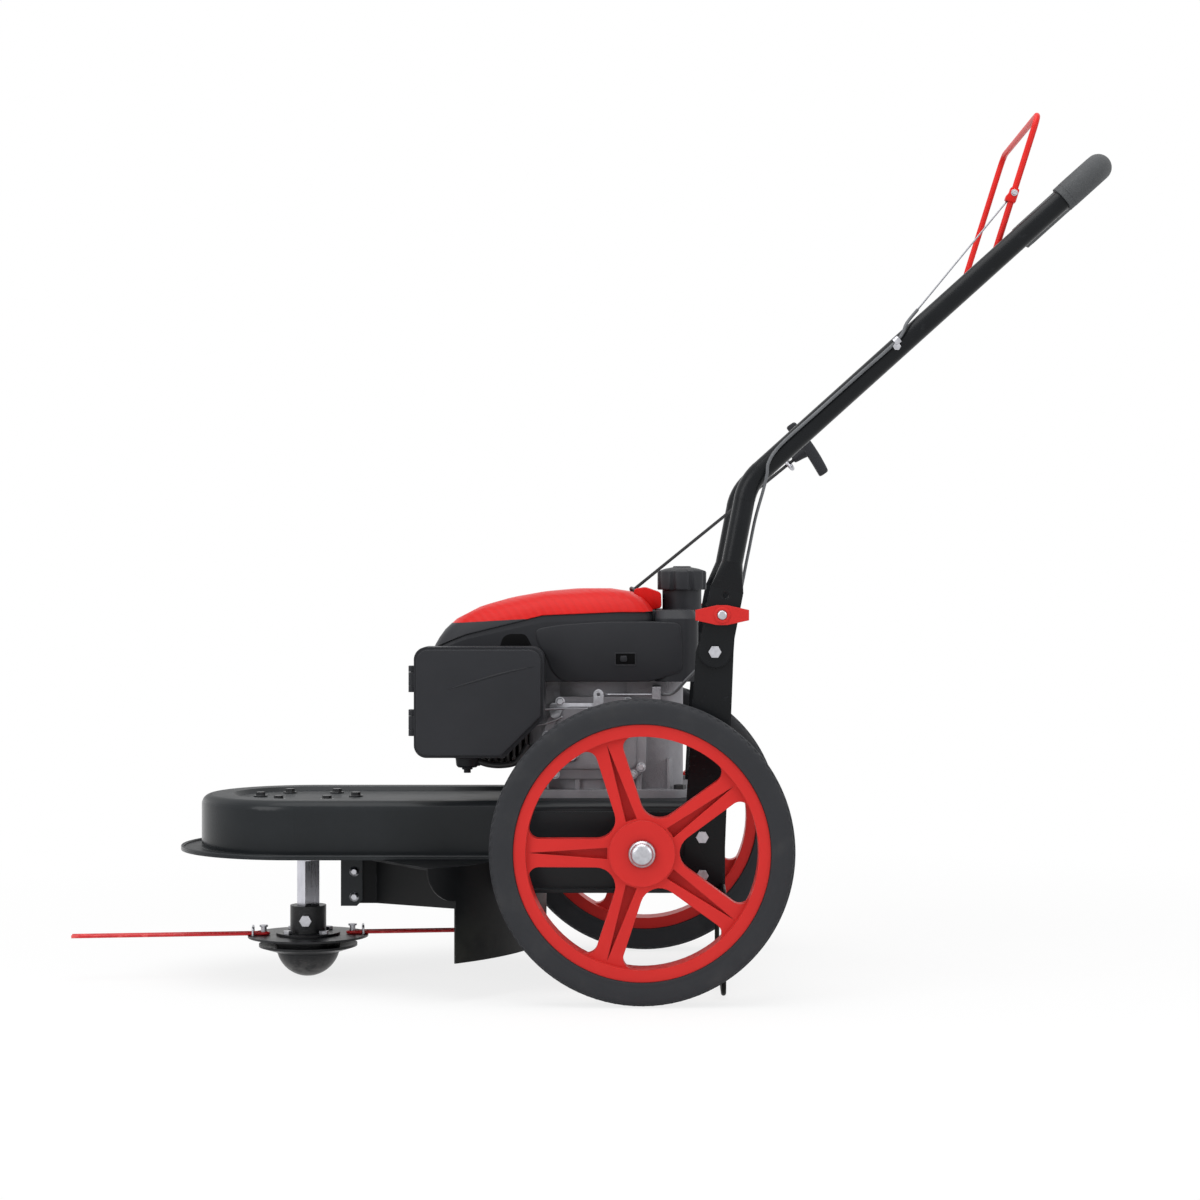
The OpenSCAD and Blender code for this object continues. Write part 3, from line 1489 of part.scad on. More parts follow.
// Fuel tank behind the shroud, with its filler neck
module fuel_tank() {
  x0 = shroud_rear + tank_gap;
  x1 = x0 + tank_len;
  color("#2e3034") place() difference() {
    union() {
      up(shroud_z) linear_extrude(tank_h - tank_shoulder)
        rounded_area(x0, x1, tank_half_w, tank_corner_r);
      up(shroud_z + tank_h - tank_shoulder) hull() {
        linear_extrude(slice) rounded_area(x0, x1, tank_half_w, tank_corner_r, $fn = 32);
        up(tank_shoulder - slice) linear_extrude(slice)
          rounded_area(x0, x1 - tank_shoulder / 2, tank_half_w - tank_shoulder, tank_corner_r, $fn = 32);
      }
      translate([neck_x, 0, shroud_z + tank_h - tank_shoulder])
        cylinder(h = neck_h + tank_shoulder, r = neck_r);
    }
    up(shroud_z + tank_wall) linear_extrude(tank_h - tank_shoulder - 2 * tank_wall)
      rounded_area(x0 + tank_wall, x1 - tank_wall, tank_half_w - tank_wall, tank_corner_r - tank_wall);
    translate([neck_x, 0, shroud_z + tank_h / 2])
      cylinder(h = tank_h + neck_h, r = neck_r - 2 * tank_wall);
  }
}

module fuel_cap() {
  grip_r = fuel_cap_d / 2;
  color("#2b2d30") place() translate([neck_x, 0, fuel_cap_z]) difference() {
    cylinder(h = cap_skirt_h + cap_top_t, r = grip_r);
    up(-overrun) cylinder(h = cap_skirt_h + overrun, r = neck_r + pass_gap);
    for (i = [0 : cap_flutes - 1]) rotate([0, 0, i * 360 / cap_flutes])
      translate([grip_r + flute_r / 2, 0, -overrun]) cylinder(h = cap_skirt_h + overrun, r = flute_r);
  }
}

module carburettor() {
  body_z = bowl_low_z + bowl_h;
  color("#55575b") place() {
    translate([carb_x - carb_w / 2, -carb_out_y, body_z])
      cube([carb_w, carb_out_y - carb_in_y - carb_flange_t, carb_h]);
    translate([carb_x - carb_w / 2, -carb_in_y - carb_flange_t, body_z])
      cube([carb_w, carb_flange_t, carb_h]);
    translate([carb_x, -(carb_out_y + carb_in_y + carb_flange_t) / 2, bowl_low_z])
      cylinder(h = bowl_h, r = bowl_r);
  }
}

// Outline of the air filter box seen from the side, with one corner cut off
module filter_outline(inset) {
  x0 = filter_front + inset;
  x1 = filter_front + filter_len - inset;
  z_mid = filter_low_z + filter_h / 2;
  intersection() {
    translate([0, z_mid]) rounded_area(x0, x1, filter_h / 2 - inset, filter_corner_r - inset / 2);
    polygon([
      [x0, z_mid - filter_h], [x1 - filter_cut, z_mid - filter_h], [x1 - filter_cut, filter_low_z + inset],
      [x1, filter_low_z + filter_cut + inset], [x1, z_mid + filter_h], [x0, z_mid + filter_h]
    ]);
  }
}

module facing_left(y, depth) translate([0, -y, 0]) rotate([90, 0, 0]) linear_extrude(depth) children();

module at_hinges() {
  for (share = hinge_shares) translate([hinge_x, -hinge_y, filter_low_z + filter_h * share]) children();
}

module air_filter_base() {
  color("#2b2d30") place() {
    facing_left(carb_out_y, filter_base_t) filter_outline(filter_wall);
    at_hinges() for (z = [hinge_h / 2 + pass_gap, -hinge_h / 2 - hinge_lug_h - pass_gap]) up(z) {
      cylinder(h = hinge_lug_h, r = hinge_r);
      translate([-hinge_r, 0, 0]) cube([2 * hinge_r - pass_gap, hinge_y - carb_out_y, hinge_lug_h]);
      translate([-hinge_r, hinge_r, 0]) cube([2 * (hinge_r + filter_wall), filter_base_t, hinge_lug_h]);
    }
    at_hinges() up(-hinge_h / 2 - hinge_lug_h / 2) cylinder(h = hinge_h + hinge_lug_h, r = hinge_pin_r);
  }
}

module air_filter_element() {
  color("khaki") place() facing_left(filter_base_out, element_depth)
    filter_outline(filter_wall + element_gap);
}

// Hinged cover, open towards the base, with knuckles on its front edge
module air_filter_cover() {
  y0 = filter_base_out + pass_gap;
  deep = filter_cover_depth - filter_face_inset;
  color("#2e3034") place() {
    difference() {
      union() {
        facing_left(y0, deep) filter_outline(0);
        facing_left(y0 + deep, filter_face_inset) filter_outline(filter_face_inset / 2);
      }
      facing_left(y0 - overrun, deep - filter_wall + overrun) filter_outline(filter_wall);
    }
    at_hinges() difference() {
      union() {
        up(-hinge_h / 2) cylinder(h = hinge_h, r = hinge_r);
        translate([0, -hinge_r, -hinge_h / 2]) cube([hinge_r + filter_wall / 2, hinge_r, hinge_h]);
      }
      up(-hinge_h) cylinder(h = 2 * hinge_h, r = hinge_pin_r + run_gap);
    }
  }
}

// Muffler on the right of the head, behind a slotted guard face
module muffler() {
  y0 = cylinder_half_w + muffler_gap;
  x0 = cylinder_front + fin_t;
  slot_pitch = muffler_h / (muffler_slots + 1);
  pipe_z = cylinder_z - muffler_h / 2 - muffler_pipe_len;
  color("#55534f") place() difference() {
    union() {
      translate([x0, 0, cylinder_z]) along_y() up(y0) linear_extrude(muffler_depth)
        rounded_area(0, muffler_len, muffler_h / 2, muffler_corner_r);
      translate([x0 + muffler_len / 3, cylinder_half_w, cylinder_z]) along_y()
        cylinder(h = muffler_gap, r = muffler_pipe_r);
      translate([x0 + muffler_len / 2, y0 + muffler_depth / 2, pipe_z])
        cylinder(h = muffler_pipe_len * 2, r = muffler_pipe_r);
    }
    for (i = [1 : muffler_slots])
      translate([x0 + muffler_corner_r, y0 + muffler_depth - muffler_slot_depth,
        cylinder_z - muffler_h / 2 + i * slot_pitch - muffler_slot_w / 2])
        cube([muffler_len - 2 * muffler_corner_r, muffler_slot_depth + overrun, muffler_slot_w]);
    translate([x0 + muffler_len / 2, y0 + muffler_depth / 2, pipe_z - overrun])
      cylinder(h = muffler_pipe_len + overrun, r = muffler_pipe_r - muffler_wall);
  }
}

module crankshaft() {
  low = pulley_z - crank_low_gap;
  top = shroud_z + flywheel_gap + flywheel_h + crank_low_gap;
  web_z = (engine_z + shroud_z) / 2 - crank_web_h / 2;
  color("silver") place() translate([crank_x, 0, 0]) {
    up(low) cylinder(h = top - low, r = crank_r);
    up(web_z) cylinder(h = crank_web_h, r = crank_web_r);
  }
}

module flywheel() {
  color("#7b7d80") place() translate([crank_x, 0, shroud_z + flywheel_gap])
    pipe(flywheel_h, flywheel_r, crank_r);
}

// Lever of the engine brake, pulled by the control cable
module brake_lever() {
  y0 = case_half_w + lever_boss_gap;
  color("gainsboro") place() translate([lever_x, -y0 - seat_gap * 3, lever_z]) rotate([90, 0, 0])
    linear_extrude(lever_t) difference() {
      union() {
        circle(lever_w / 2 + wire_d);
        translate([-lever_w / 2, 0]) square([lever_w, lever_len]);
        translate([0, lever_len]) circle(lever_w / 2);
      }
      circle(lever_pin_r + run_gap);
      translate([0, lever_len]) circle(lever_hole_r);
    }
}

// Recoil starter

module starter_rope() {
  stem_end = starter_grip_place - starter_dir * (starter_grip_r + starter_stem_len);
  color("#d8d8d4") place() {
    rod(rope_exit(), guide_place, rope_r - seam);
    translate(guide_place) sphere(rope_r);
    rod(guide_place, stem_end, rope_r - seam);
  }
}

// T grip: round bar square to the rope, with a stem that the rope enters
module starter_grip() {
  turn = atan2(starter_dir[0], starter_dir[2]);
  half = starter_grip_len / 2 - starter_grip_r;
  color("#232427") place() translate(starter_grip_place) {
    rotate([0, turn + 90, 0]) up(-half) cylinder(h = 2 * half, r = starter_grip_r);
    for (end = [-1, 1]) rotate([0, turn + 90, 0]) up(end * half) sphere(starter_grip_r);
    rod(-starter_dir * (starter_grip_r + starter_stem_len), [0, 0, 0], starter_stem_r);
  }
}

deck_shell();
belt_guard();
left_side_plate();
right_side_plate();
left_upright();
right_upright();
frame_bolts();
axle();
axle_fittings();
bearing_housing();
spindle_bearings();
deck_bolts();
drive_belt();
guard();
guard_brackets();
guard_bolts();
rear_stand();
crankcase();
cylinder_block();
spark_plug();
blower_shroud();
starter_cover();
fuel_tank();
carburettor();
air_filter_base();
air_filter_element();
muffler();
crankshaft();
flywheel();
drive_pulley();
spindle_shaft();
spindle_pulley();
head_collar();
line_plate();
glide_dish();
glide_dome();
head_bolts();
line_posts();
trimmer_lines();
handle_tube();
grip_sleeve();
handle_fittings();
control_cable();
control_wire();
starter_rope();
bail();
bail_hook();
starter_grip();
left_wing_knob();
right_wing_knob();
fuel_cap();
air_filter_cover();
brake_lever();
left_rim();
left_tyre();
left_bushes();
right_rim();
right_tyre();
right_bushes();
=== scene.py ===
from math import atan2, cos, hypot, pi, radians, sin, sqrt

import bmesh
import bpy
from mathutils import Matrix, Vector


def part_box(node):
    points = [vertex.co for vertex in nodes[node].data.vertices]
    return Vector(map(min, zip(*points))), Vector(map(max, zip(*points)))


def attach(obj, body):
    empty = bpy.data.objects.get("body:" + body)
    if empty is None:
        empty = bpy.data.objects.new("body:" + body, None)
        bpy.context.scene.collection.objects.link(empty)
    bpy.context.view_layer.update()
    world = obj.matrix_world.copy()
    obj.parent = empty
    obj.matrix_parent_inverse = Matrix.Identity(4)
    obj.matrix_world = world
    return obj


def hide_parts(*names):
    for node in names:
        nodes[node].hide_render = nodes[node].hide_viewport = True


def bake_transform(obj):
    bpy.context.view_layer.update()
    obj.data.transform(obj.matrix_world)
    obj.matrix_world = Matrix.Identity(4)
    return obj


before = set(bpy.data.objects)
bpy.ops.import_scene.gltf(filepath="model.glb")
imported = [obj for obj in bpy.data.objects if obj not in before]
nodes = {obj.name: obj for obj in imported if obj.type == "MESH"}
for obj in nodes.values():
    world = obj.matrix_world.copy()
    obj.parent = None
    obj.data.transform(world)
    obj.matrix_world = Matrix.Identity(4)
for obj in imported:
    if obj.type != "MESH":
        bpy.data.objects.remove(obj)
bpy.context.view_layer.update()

# Camera: the machine is seen square on from its left, with the lens at the height of the engine.
# Its frame is shifted rather than turned, as in a catalogue picture.
scene = bpy.context.scene
SENSOR_MM, LENS_MM = 36, 80.31
LENS_SHIFT = (-0.0525, -0.0242)
CAMERA_PLACE = (0.03, -3.289, 0.496)
camera_data = bpy.data.cameras.new("camera")
camera_data.sensor_width = SENSOR_MM
camera_data.lens = LENS_MM
camera_data.shift_x, camera_data.shift_y = LENS_SHIFT
camera = bpy.data.objects.new("camera", camera_data)
camera.location = CAMERA_PLACE
camera.rotation_euler = (radians(90), 0, 0)
scene.collection.objects.link(camera)
scene.camera = camera
scene.view_settings.view_transform = "Standard"


# Cutting lines: two lengths of thick red nylon, each folded round a post on the line plate.
# The four ends stick straight out, two to the front and two to the rear.
AXLE_SHIFT = 6.2101
SPINDLE_X = -412


def mm(x, y, z):
    """A place in millimetres from the axle and the ground, in the frame's metres."""
    return Vector(((x + AXLE_SHIFT) / 1000, y / 1000, z / 1000))


class Wire:
    """A shader socket that takes part in sums, so that a finish reads as an expression."""

    def __init__(self, tree, socket):
        self.tree = tree
        self.socket = socket

    def node(self, kind, settings=None, sockets=None, output=0):
        """A new shader node with its settings and inputs, given back as one of its outputs."""
        made = self.tree.nodes.new("ShaderNode" + kind)
        for key, value in (settings or {}).items():
            setattr(made, key, value)
        for key, value in (sockets or {}).items():
            if isinstance(value, Wire):
                self.tree.links.new(value.socket, made.inputs[key])
            else:
                made.inputs[key].default_value = value
        return Wire(self.tree, made.outputs[output])

    def maths(self, operation, first, second):
        return self.node("Math", {"operation": operation}, {0: first, 1: second})

    def __add__(self, other):
        return self.maths("ADD", self, other)

    __radd__ = __add__

    def __rsub__(self, other):
        return self.maths("SUBTRACT", other, self)

    def __mul__(self, other):
        return self.maths("MULTIPLY", self, other)

    __rmul__ = __mul__

    def between(self, low, high):
        """Zero at low, one at high, smooth between them."""
        ends = {"Value": self, "From Min": low, "From Max": high}
        return self.node("MapRange", {"interpolation_type": "SMOOTHSTEP"}, ends)

    def mix(self, low, high):
        """The colour low where the wire is zero and high where it is one."""
        return self.node("Mix", {"data_type": "RGBA"}, {0: self, 6: low, 7: high}, 2)

    def grain(self, size, detail=3.0):
        """Soft cloud pattern with spots of about a size in metres."""
        values = {"Vector": self, "Scale": 1 / size, "Detail": detail, "Roughness": 0.55}
        return self.node("TexNoise", None, values)

    def cells(self, size):
        """Distance to the nearest of a scatter of points about a size in metres apart."""
        return self.node("TexVoronoi", None, {"Vector": self, "Scale": 1 / size})

    def stretched(self, x, y, z):
        """The same places with each axis scaled, for grain that runs one way."""
        return self.node("VectorMath", {"operation": "MULTIPLY"}, {0: self, 1: (x, y, z)})

    def part(self, axis):
        """One of the X, Y and Z values."""
        return self.node("SeparateXYZ", None, {0: self}, axis)


def tone(red, green, blue):
    """A colour as it is seen, 0 to 255, as the shader's own values."""
    linear = []
    for value in (red, green, blue):
        share = value / 255
        linear.append(share / 12.92 if share <= 0.04045 else ((share + 0.055) / 1.055) ** 2.4)
    return (*linear, 1.0)


def start(name):
    """A new material with its places on the piece, and its shader still to be joined up."""
    material = bpy.data.materials.new(name)
    material.use_nodes = True
    tree = material.node_tree
    tree.nodes.remove(tree.nodes["Principled BSDF"])
    place = Wire(tree, tree.nodes.new("ShaderNodeTexCoord").outputs["Object"])
    return material, place


def rubbed(place, radius):
    """Where edges stand out and get rubbed: one on an edge, zero on a flat."""
    softened = place.node("Bevel", {"samples": 4}, {"Radius": radius})
    true = place.node("NewGeometry", None, None, "Normal")
    same = place.node("VectorMath", {"operation": "DOT_PRODUCT"}, {0: softened, 1: true}, "Value")
    return same.between(0.995, 0.86)


def upward(place):
    """One on faces that look up, where dust settles."""
    return place.node("NewGeometry", None, None, "Normal").part(2).between(0.35, 0.95)


def surface(material, place, colour, roughness, height, depth, edge=0.0012, **constants):
    """Joins a finish to the shader: what varies by link, what is even as the socket's own value."""
    softened = place.node("Bevel", {"samples": 4}, {"Radius": edge})
    relief = {"Strength": 1.0, "Distance": depth, "Height": height, "Normal": softened}
    bump = place.node("Bump", None, relief)
    values = {"Base Color": colour, "Roughness": roughness, "Normal": bump}
    values.update({key.replace("_", " "): value for key, value in constants.items()})
    shader = place.node("BsdfPrincipled", None, values)
    output = place.tree.nodes["Material Output"]
    place.tree.links.new(shader.socket, output.inputs["Surface"])
    return material


def nylon_line():
    material, place = start("nylon_line")
    streak = place.stretched(0.15, 1, 1).grain(0.004)
    scuff = place.grain(0.012).between(0.55, 0.75)
    colour = scuff.mix(streak.mix(tone(176, 22, 30), tone(214, 38, 42)), tone(226, 96, 92))
    return surface(material, place, colour, 0.3 + 0.25 * scuff, streak, 0.0002, 0.0005,
                   Specular_IOR_Level=0.4)


def dress(piece, material):
    """Gives a piece one finish all over."""
    piece.data.materials.clear()
    piece.data.materials.append(material)


def fit(piece, material, body, sharp=None):
    """Finishes a piece that rides a body, with its edges kept crisp above an angle in degrees."""
    if sharp:
        piece.data.set_sharp_from_angle(angle=radians(sharp))
    dress(piece, material)
    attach(piece, body)


LINE_D = 4
LINE_Z = 52.1
LINE_REACH = 285
LINE_STEPS = 14
POST_REACH = 54
LOOP_R = 6
LOOP_STEPS = 6
LINE_TURN = 7
line_finish = nylon_line()
for turn, end_name in ((LINE_TURN + 180, "front"), (LINE_TURN, "rear")):
    for side, side_name in ((-1, "a"), (1, "b")):
        spots = []
        for step in range(LOOP_STEPS):
            angle = radians(180 - side * 90 * step / LOOP_STEPS)
            spots.append((POST_REACH + LOOP_R * cos(angle), LOOP_R * sin(angle)))
        for step in range(LINE_STEPS + 1):
            spots.append((POST_REACH + (LINE_REACH - POST_REACH) * step / LINE_STEPS, side * LOOP_R))
        course = []
        for out, across in spots:
            c, s = cos(radians(turn)), sin(radians(turn))
            course.append(mm(SPINDLE_X + out * c - across * s, out * s + across * c, LINE_Z))
        curve = bpy.data.curves.new("cut_line_%s_%s" % (end_name, side_name), "CURVE")
        curve.dimensions = "3D"
        curve.bevel_depth = LINE_D / 2000
        curve.bevel_resolution = 3
        curve.use_fill_caps = True
        spline = curve.splines.new("POLY")
        spline.points.add(len(course) - 1)
        for point, spot in zip(spline.points, course):
            point.co = (*spot, 1)
        strand = bpy.data.objects.new(curve.name, curve)
        scene.collection.objects.link(strand)
        fit(strand, line_finish, "head")
        run = sum((b - a).length for a, b in zip(course, course[1:]))
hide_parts("trimmer_lines")


# Studio: a plain pale floor under a white surround, one broad lamp overhead and two soft ones at the sides.
# The floor keeps the machine's shadow, and what shines shows the white surround.
def shown(tree):
    """One for rays from the camera, a shine or a see-through piece, and zero for light itself."""
    camera_ray = Wire(tree, tree.nodes.new("ShaderNodeLightPath").outputs["Is Camera Ray"])
    glossy_ray = camera_ray.node("LightPath", None, None, "Is Glossy Ray")
    through_ray = camera_ray.node("LightPath", None, None, "Is Transmission Ray")
    return (camera_ray + glossy_ray + through_ray).between(0, 1)


FLOOR_R, FLOOR_DROP = 9, 0.0006
SHADOW_R, SHADOW_END_R, SHADOW_LEVEL = 0.5, 1.6, 0.8
SKY_LIGHT = 0.55
WHITE, PALE = (1, 1, 1, 1), (0.88, 0.88, 0.88, 1)
floor_mesh = bpy.data.meshes.new("floor")
floor_form = bmesh.new()
bmesh.ops.create_circle(floor_form, cap_ends=True, radius=FLOOR_R, segments=64)
floor_form.to_mesh(floor_mesh)
floor_form.free()
floor = bpy.data.objects.new("floor", floor_mesh)
floor.location.z = -FLOOR_DROP
scene.collection.objects.link(floor)
floor_material = bpy.data.materials.new("pale_floor")
floor_material.use_nodes = True
floor_tree = floor_material.node_tree
floor_tree.nodes.remove(floor_tree.nodes["Principled BSDF"])
seen = shown(floor_tree)
matt = seen.node("BsdfDiffuse", None, {"Color": PALE})
white = seen.node("Emission", None, {"Color": WHITE, "Strength": 1.0})
spread = seen.node("TexCoord", None, None, "Object")
distance = spread.node("VectorMath", {"operation": "LENGTH"}, {0: spread}, "Value")
away = distance.between(SHADOW_R, SHADOW_END_R)
whiteness = (SHADOW_LEVEL + (1 - SHADOW_LEVEL) * away) * seen
both = seen.node("MixShader", None, {0: whiteness, 1: matt, 2: white})
floor_tree.links.new(both.socket, floor_tree.nodes["Material Output"].inputs["Surface"])
dress(floor, floor_material)

world = bpy.data.worlds.new("surround")
scene.world = world
world.use_nodes = True
world_tree = world.node_tree
level = shown(world_tree) * (1 - SKY_LIGHT) + SKY_LIGHT
sky = level.node("Background", None, {"Color": WHITE, "Strength": level})
world_tree.links.new(sky.socket, world_tree.nodes["World Output"].inputs["Surface"])

for lamp_name, spot, target, size, power in (
    ("lamp_top", (-0.3, -0.6, 3.2), (0, 0, 0.3), 2.6, 62),
    ("lamp_left", (-2.6, -2.6, 1.9), (0, 0, 0.4), 1.8, 38),
    ("lamp_right", (2.6, -2.2, 1.6), (0, 0, 0.4), 1.6, 22),
):
    lamp_data = bpy.data.lights.new(lamp_name, "AREA")
    lamp_data.size = size
    lamp_data.energy = power
    lamp = bpy.data.objects.new(lamp_name, lamp_data)
    lamp.location = spot
    lamp.rotation_euler = (Vector(target) - Vector(spot)).to_track_quat("-Z", "Y").to_euler()
    scene.collection.objects.link(lamp)


# Control cable: a dark grey sheathed cable from the stop bail, clipped to the handle tube and led down to
# the brake lever. Its ends are the bare steel wire, hooked to the bail and to the lever.
def join_rings(form, rings, closed=False):
    """Skins neighbouring rings of points, and the last to the first one if closed."""
    for a, b in zip(rings, rings[1:] + (rings[:1] if closed else [])):
        for k in range(len(a)):
            n = (k + 1) % len(a)
            form.faces.new((a[k], a[n], b[n], b[k]))


def tube_piece(name, course, radius, sides=12, up=Vector((0, 1, 0))):
    """A mesh tube along a course, closed at both ends, where up is across the course's start."""
    turns = [2 * pi * k / sides for k in range(sides)]
    form = bmesh.new()
    rings = []
    for index, spot in enumerate(course):
        ahead = course[min(index + 1, len(course) - 1)] - course[max(index - 1, 0)]
        ahead.normalize()
        side = ahead.cross(up).normalized()
        up = side.cross(ahead).normalized()
        rings.append([form.verts.new(spot + radius * (cos(a) * side + sin(a) * up)) for a in turns])
    join_rings(form, rings)
    form.faces.new(rings[0][::-1])
    form.faces.new(rings[-1])
    return mesh_piece(name, form)


def mesh_piece(name, form, smooth=True):
    """The finished form as a piece of the machine."""
    bmesh.ops.recalc_face_normals(form, faces=form.faces)
    mesh = bpy.data.meshes.new(name)
    form.to_mesh(mesh)
    form.free()
    for face in mesh.polygons:
        face.use_smooth = smooth
    piece = bpy.data.objects.new(name, mesh)
    scene.collection.objects.link(piece)
    return piece


def eased(route, steps):
    """A smooth course through the points of a route."""
    course = []
    for index in range(len(route) - 1):
        p = [route[max(index - 1, 0)], route[index], route[index + 1], route[min(index + 2, len(route) - 1)]]
        for step in range(steps):
            t = step / steps
            course.append(0.5 * (2 * p[1] + (p[2] - p[0]) * t
                                 + (2 * p[0] - 5 * p[1] + 4 * p[2] - p[3]) * t * t
                                 + (3 * p[1] - p[0] - 3 * p[2] + p[3]) * t ** 3))
    course.append(route[-1])
    return course


def straight(first, last, steps):
    """A straight course between two places."""
    return [first.lerp(last, k / steps) for k in range(steps + 1)]


def span(piece, material, first, last):
    """Finishes a flexible piece and bakes its place into its mesh; the start and end it is given are not
    used.
    """
    dress(piece, material)
    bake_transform(piece)


def cable_sheath():
    material, place = start("cable_sheath")
    mark = place.grain(0.02)
    fine = place.grain(0.0012)
    colour = mark.mix(tone(78, 80, 83), tone(108, 110, 113))
    return surface(material, place, colour, 0.42 + 0.2 * mark, fine, 0.0001, 0.0004,
                   Specular_IOR_Level=0.35)


def drawn_wire():
    material, place = start("drawn_wire")
    lay = place.stretched(1, 1, 0.1).grain(0.0012)
    colour = lay.mix(tone(120, 121, 126), tone(178, 179, 184))
    return surface(material, place, colour, 0.32 + 0.2 * lay, lay, 0.0001, 0.0003, Metallic=1.0)


CABLE_D = 3.8
WIRE_D = 2
CABLE_ROUTE = [
    (320, -172, 800), (306, -190, 783), (294, -195, 762), (247, -195, 720),
    (200, -195, 678), (160, -195, 642), (146, -197, 622), (144, -197, 608),
    (140, -190, 590), (131, -172, 556), (122, -160, 510), (110, -152, 456),
    (86, -144, 406), (52, -128, 368), (36, -108, 351), (22, -104, 349),
]
SLACK_START, SLACK_END = (60, -150, 372), (131, -172, 556)
sheath_finish = cable_sheath()
wire_finish = drawn_wire()
cable = tube_piece("cable_run", eased([mm(*spot) for spot in CABLE_ROUTE], 5), CABLE_D / 2000)
span(cable, sheath_finish, mm(*SLACK_START), mm(*SLACK_END))
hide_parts("control_cable")

BAIL_X, BAIL_Z, BAIL_Y, BAIL_LEAN = 407.53, 855.27, 160, 17.5
CLIP_REACH, HOOK_SET = 84, 6
LEVER_GAP = 0.4
clip_x = BAIL_X + CLIP_REACH * sin(radians(BAIL_LEAN))
clip_z = BAIL_Z + CLIP_REACH * cos(radians(BAIL_LEAN))
hook = mm(clip_x - HOOK_SET, -BAIL_Y, clip_z - HOOK_SET)
cable_top, cable_foot = mm(*CABLE_ROUTE[0]), mm(*CABLE_ROUTE[-1])
wire_top = tube_piece("wire_to_bail", straight(cable_top, hook, 24), WIRE_D / 2000, sides=8)
span(wire_top, wire_finish, cable_top, hook)
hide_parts("control_wire")
lever_end = Vector((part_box("brake_lever")[1].x + LEVER_GAP / 1000, cable_foot.y, cable_foot.z))
wire_low = tube_piece("wire_to_lever", straight(cable_foot, lever_end, 12), WIRE_D / 2000, sides=8)
span(wire_low, wire_finish, cable_foot, lever_end)


# Starter rope: braided black rope from the red engine cover, through a wire eye on the right handle tube,
# to a moulded T grip. A short moulded eyelet keeps it off the edge of the cover.
def braided_rope():
    material, place = start("braided_rope")
    braid = {"Vector": place, "Scale": 260.0, "Distortion": 2.0}
    lay = place.node("TexWave", {"bands_direction": "DIAGONAL"}, braid, 1)
    fuzz = place.grain(0.0009)
    colour = lay.mix(tone(22, 22, 24), tone(58, 58, 60))
    return surface(material, place, colour, 0.7 + 0.2 * fuzz, lay + 0.4 * fuzz, 0.0006, 0.0003)


def ring_piece(name, centre, axis, ring_r, wire_r, around=28, sides=10):
    """A closed round ring about an axis."""
    form = bmesh.new()
    lean = Vector(axis).to_track_quat("Z", "Y").to_matrix()
    loops = []
    for j in range(around):
        a = 2 * pi * j / around
        loops.append([form.verts.new(centre + lean @ Vector((
            (ring_r + wire_r * cos(2 * pi * k / sides)) * cos(a),
            (ring_r + wire_r * cos(2 * pi * k / sides)) * sin(a),
            wire_r * sin(2 * pi * k / sides)))) for k in range(sides)])
    join_rings(form, loops, closed=True)
    return mesh_piece(name, form)


ROPE_D = 4
ROPE_RISE = 1.5
EYELET_SHIFT = Vector((0.0006, 0.0004, -0.0002))
EYELET_R, EYELET_WIRE_R = 0.0042, 0.0018
ROPE_EXIT = mm(-14, 40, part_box("starter_rope")[0].z * 1000 + ROPE_RISE)
ROPE_EYE = mm(185.63, 158, 633.95)
ROPE_STEM = mm(192.2, 156.3, 639.07)
rope_finish = braided_rope()
rope_low = tube_piece("rope_run", straight(ROPE_EXIT, ROPE_EYE, 40), ROPE_D / 2000)
span(rope_low, rope_finish, ROPE_EXIT, ROPE_EYE)
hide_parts("starter_rope")
rope_top = tube_piece("rope_end", straight(ROPE_EYE, ROPE_STEM, 24), ROPE_D / 2000)
span(rope_top, rope_finish, ROPE_EYE, ROPE_STEM)
eyelet = ring_piece("rope_eyelet", ROPE_EXIT + EYELET_SHIFT, ROPE_EYE - ROPE_EXIT, EYELET_R, EYELET_WIRE_R)
fit(eyelet, sheath_finish, "frame")


# Deck: one long pressed steel shell with a bead rolled along its lip, and the side plates, belt guard and
# brackets welded or bolted to it. All of it is stoved in gloss black, a little dusty on top and rubbed at
# the edges.
def gloss_black():
    material, place = start("gloss_black")
    peel = place.grain(0.0026, 1.0)
    smudge = place.grain(0.07, 4.0)
    rub = rubbed(place, 0.001) * place.grain(0.03).between(0.5, 0.75)
    dust = upward(place) * place.grain(0.05, 5.0).between(0.45, 0.8)
    fresh = smudge.mix(tone(25, 28, 30), tone(37, 40, 43))
    colour = (0.04 * dust).mix((0.25 * rub).mix(fresh, tone(90, 92, 96)), tone(150, 145, 136))
    roughness = 0.18 + 0.12 * smudge + 0.3 * upward(place) + 0.1 * dust
    return surface(material, place, colour, roughness, peel, 0.00004, 0.0016, Specular_IOR_Level=0.16,
                   Coat_Weight=0.05, Coat_Roughness=0.06)


def dress_nodes(names, material):
    """Gives some of the frame's own pieces a finish."""
    for name in names:
        dress(nodes[name], material)


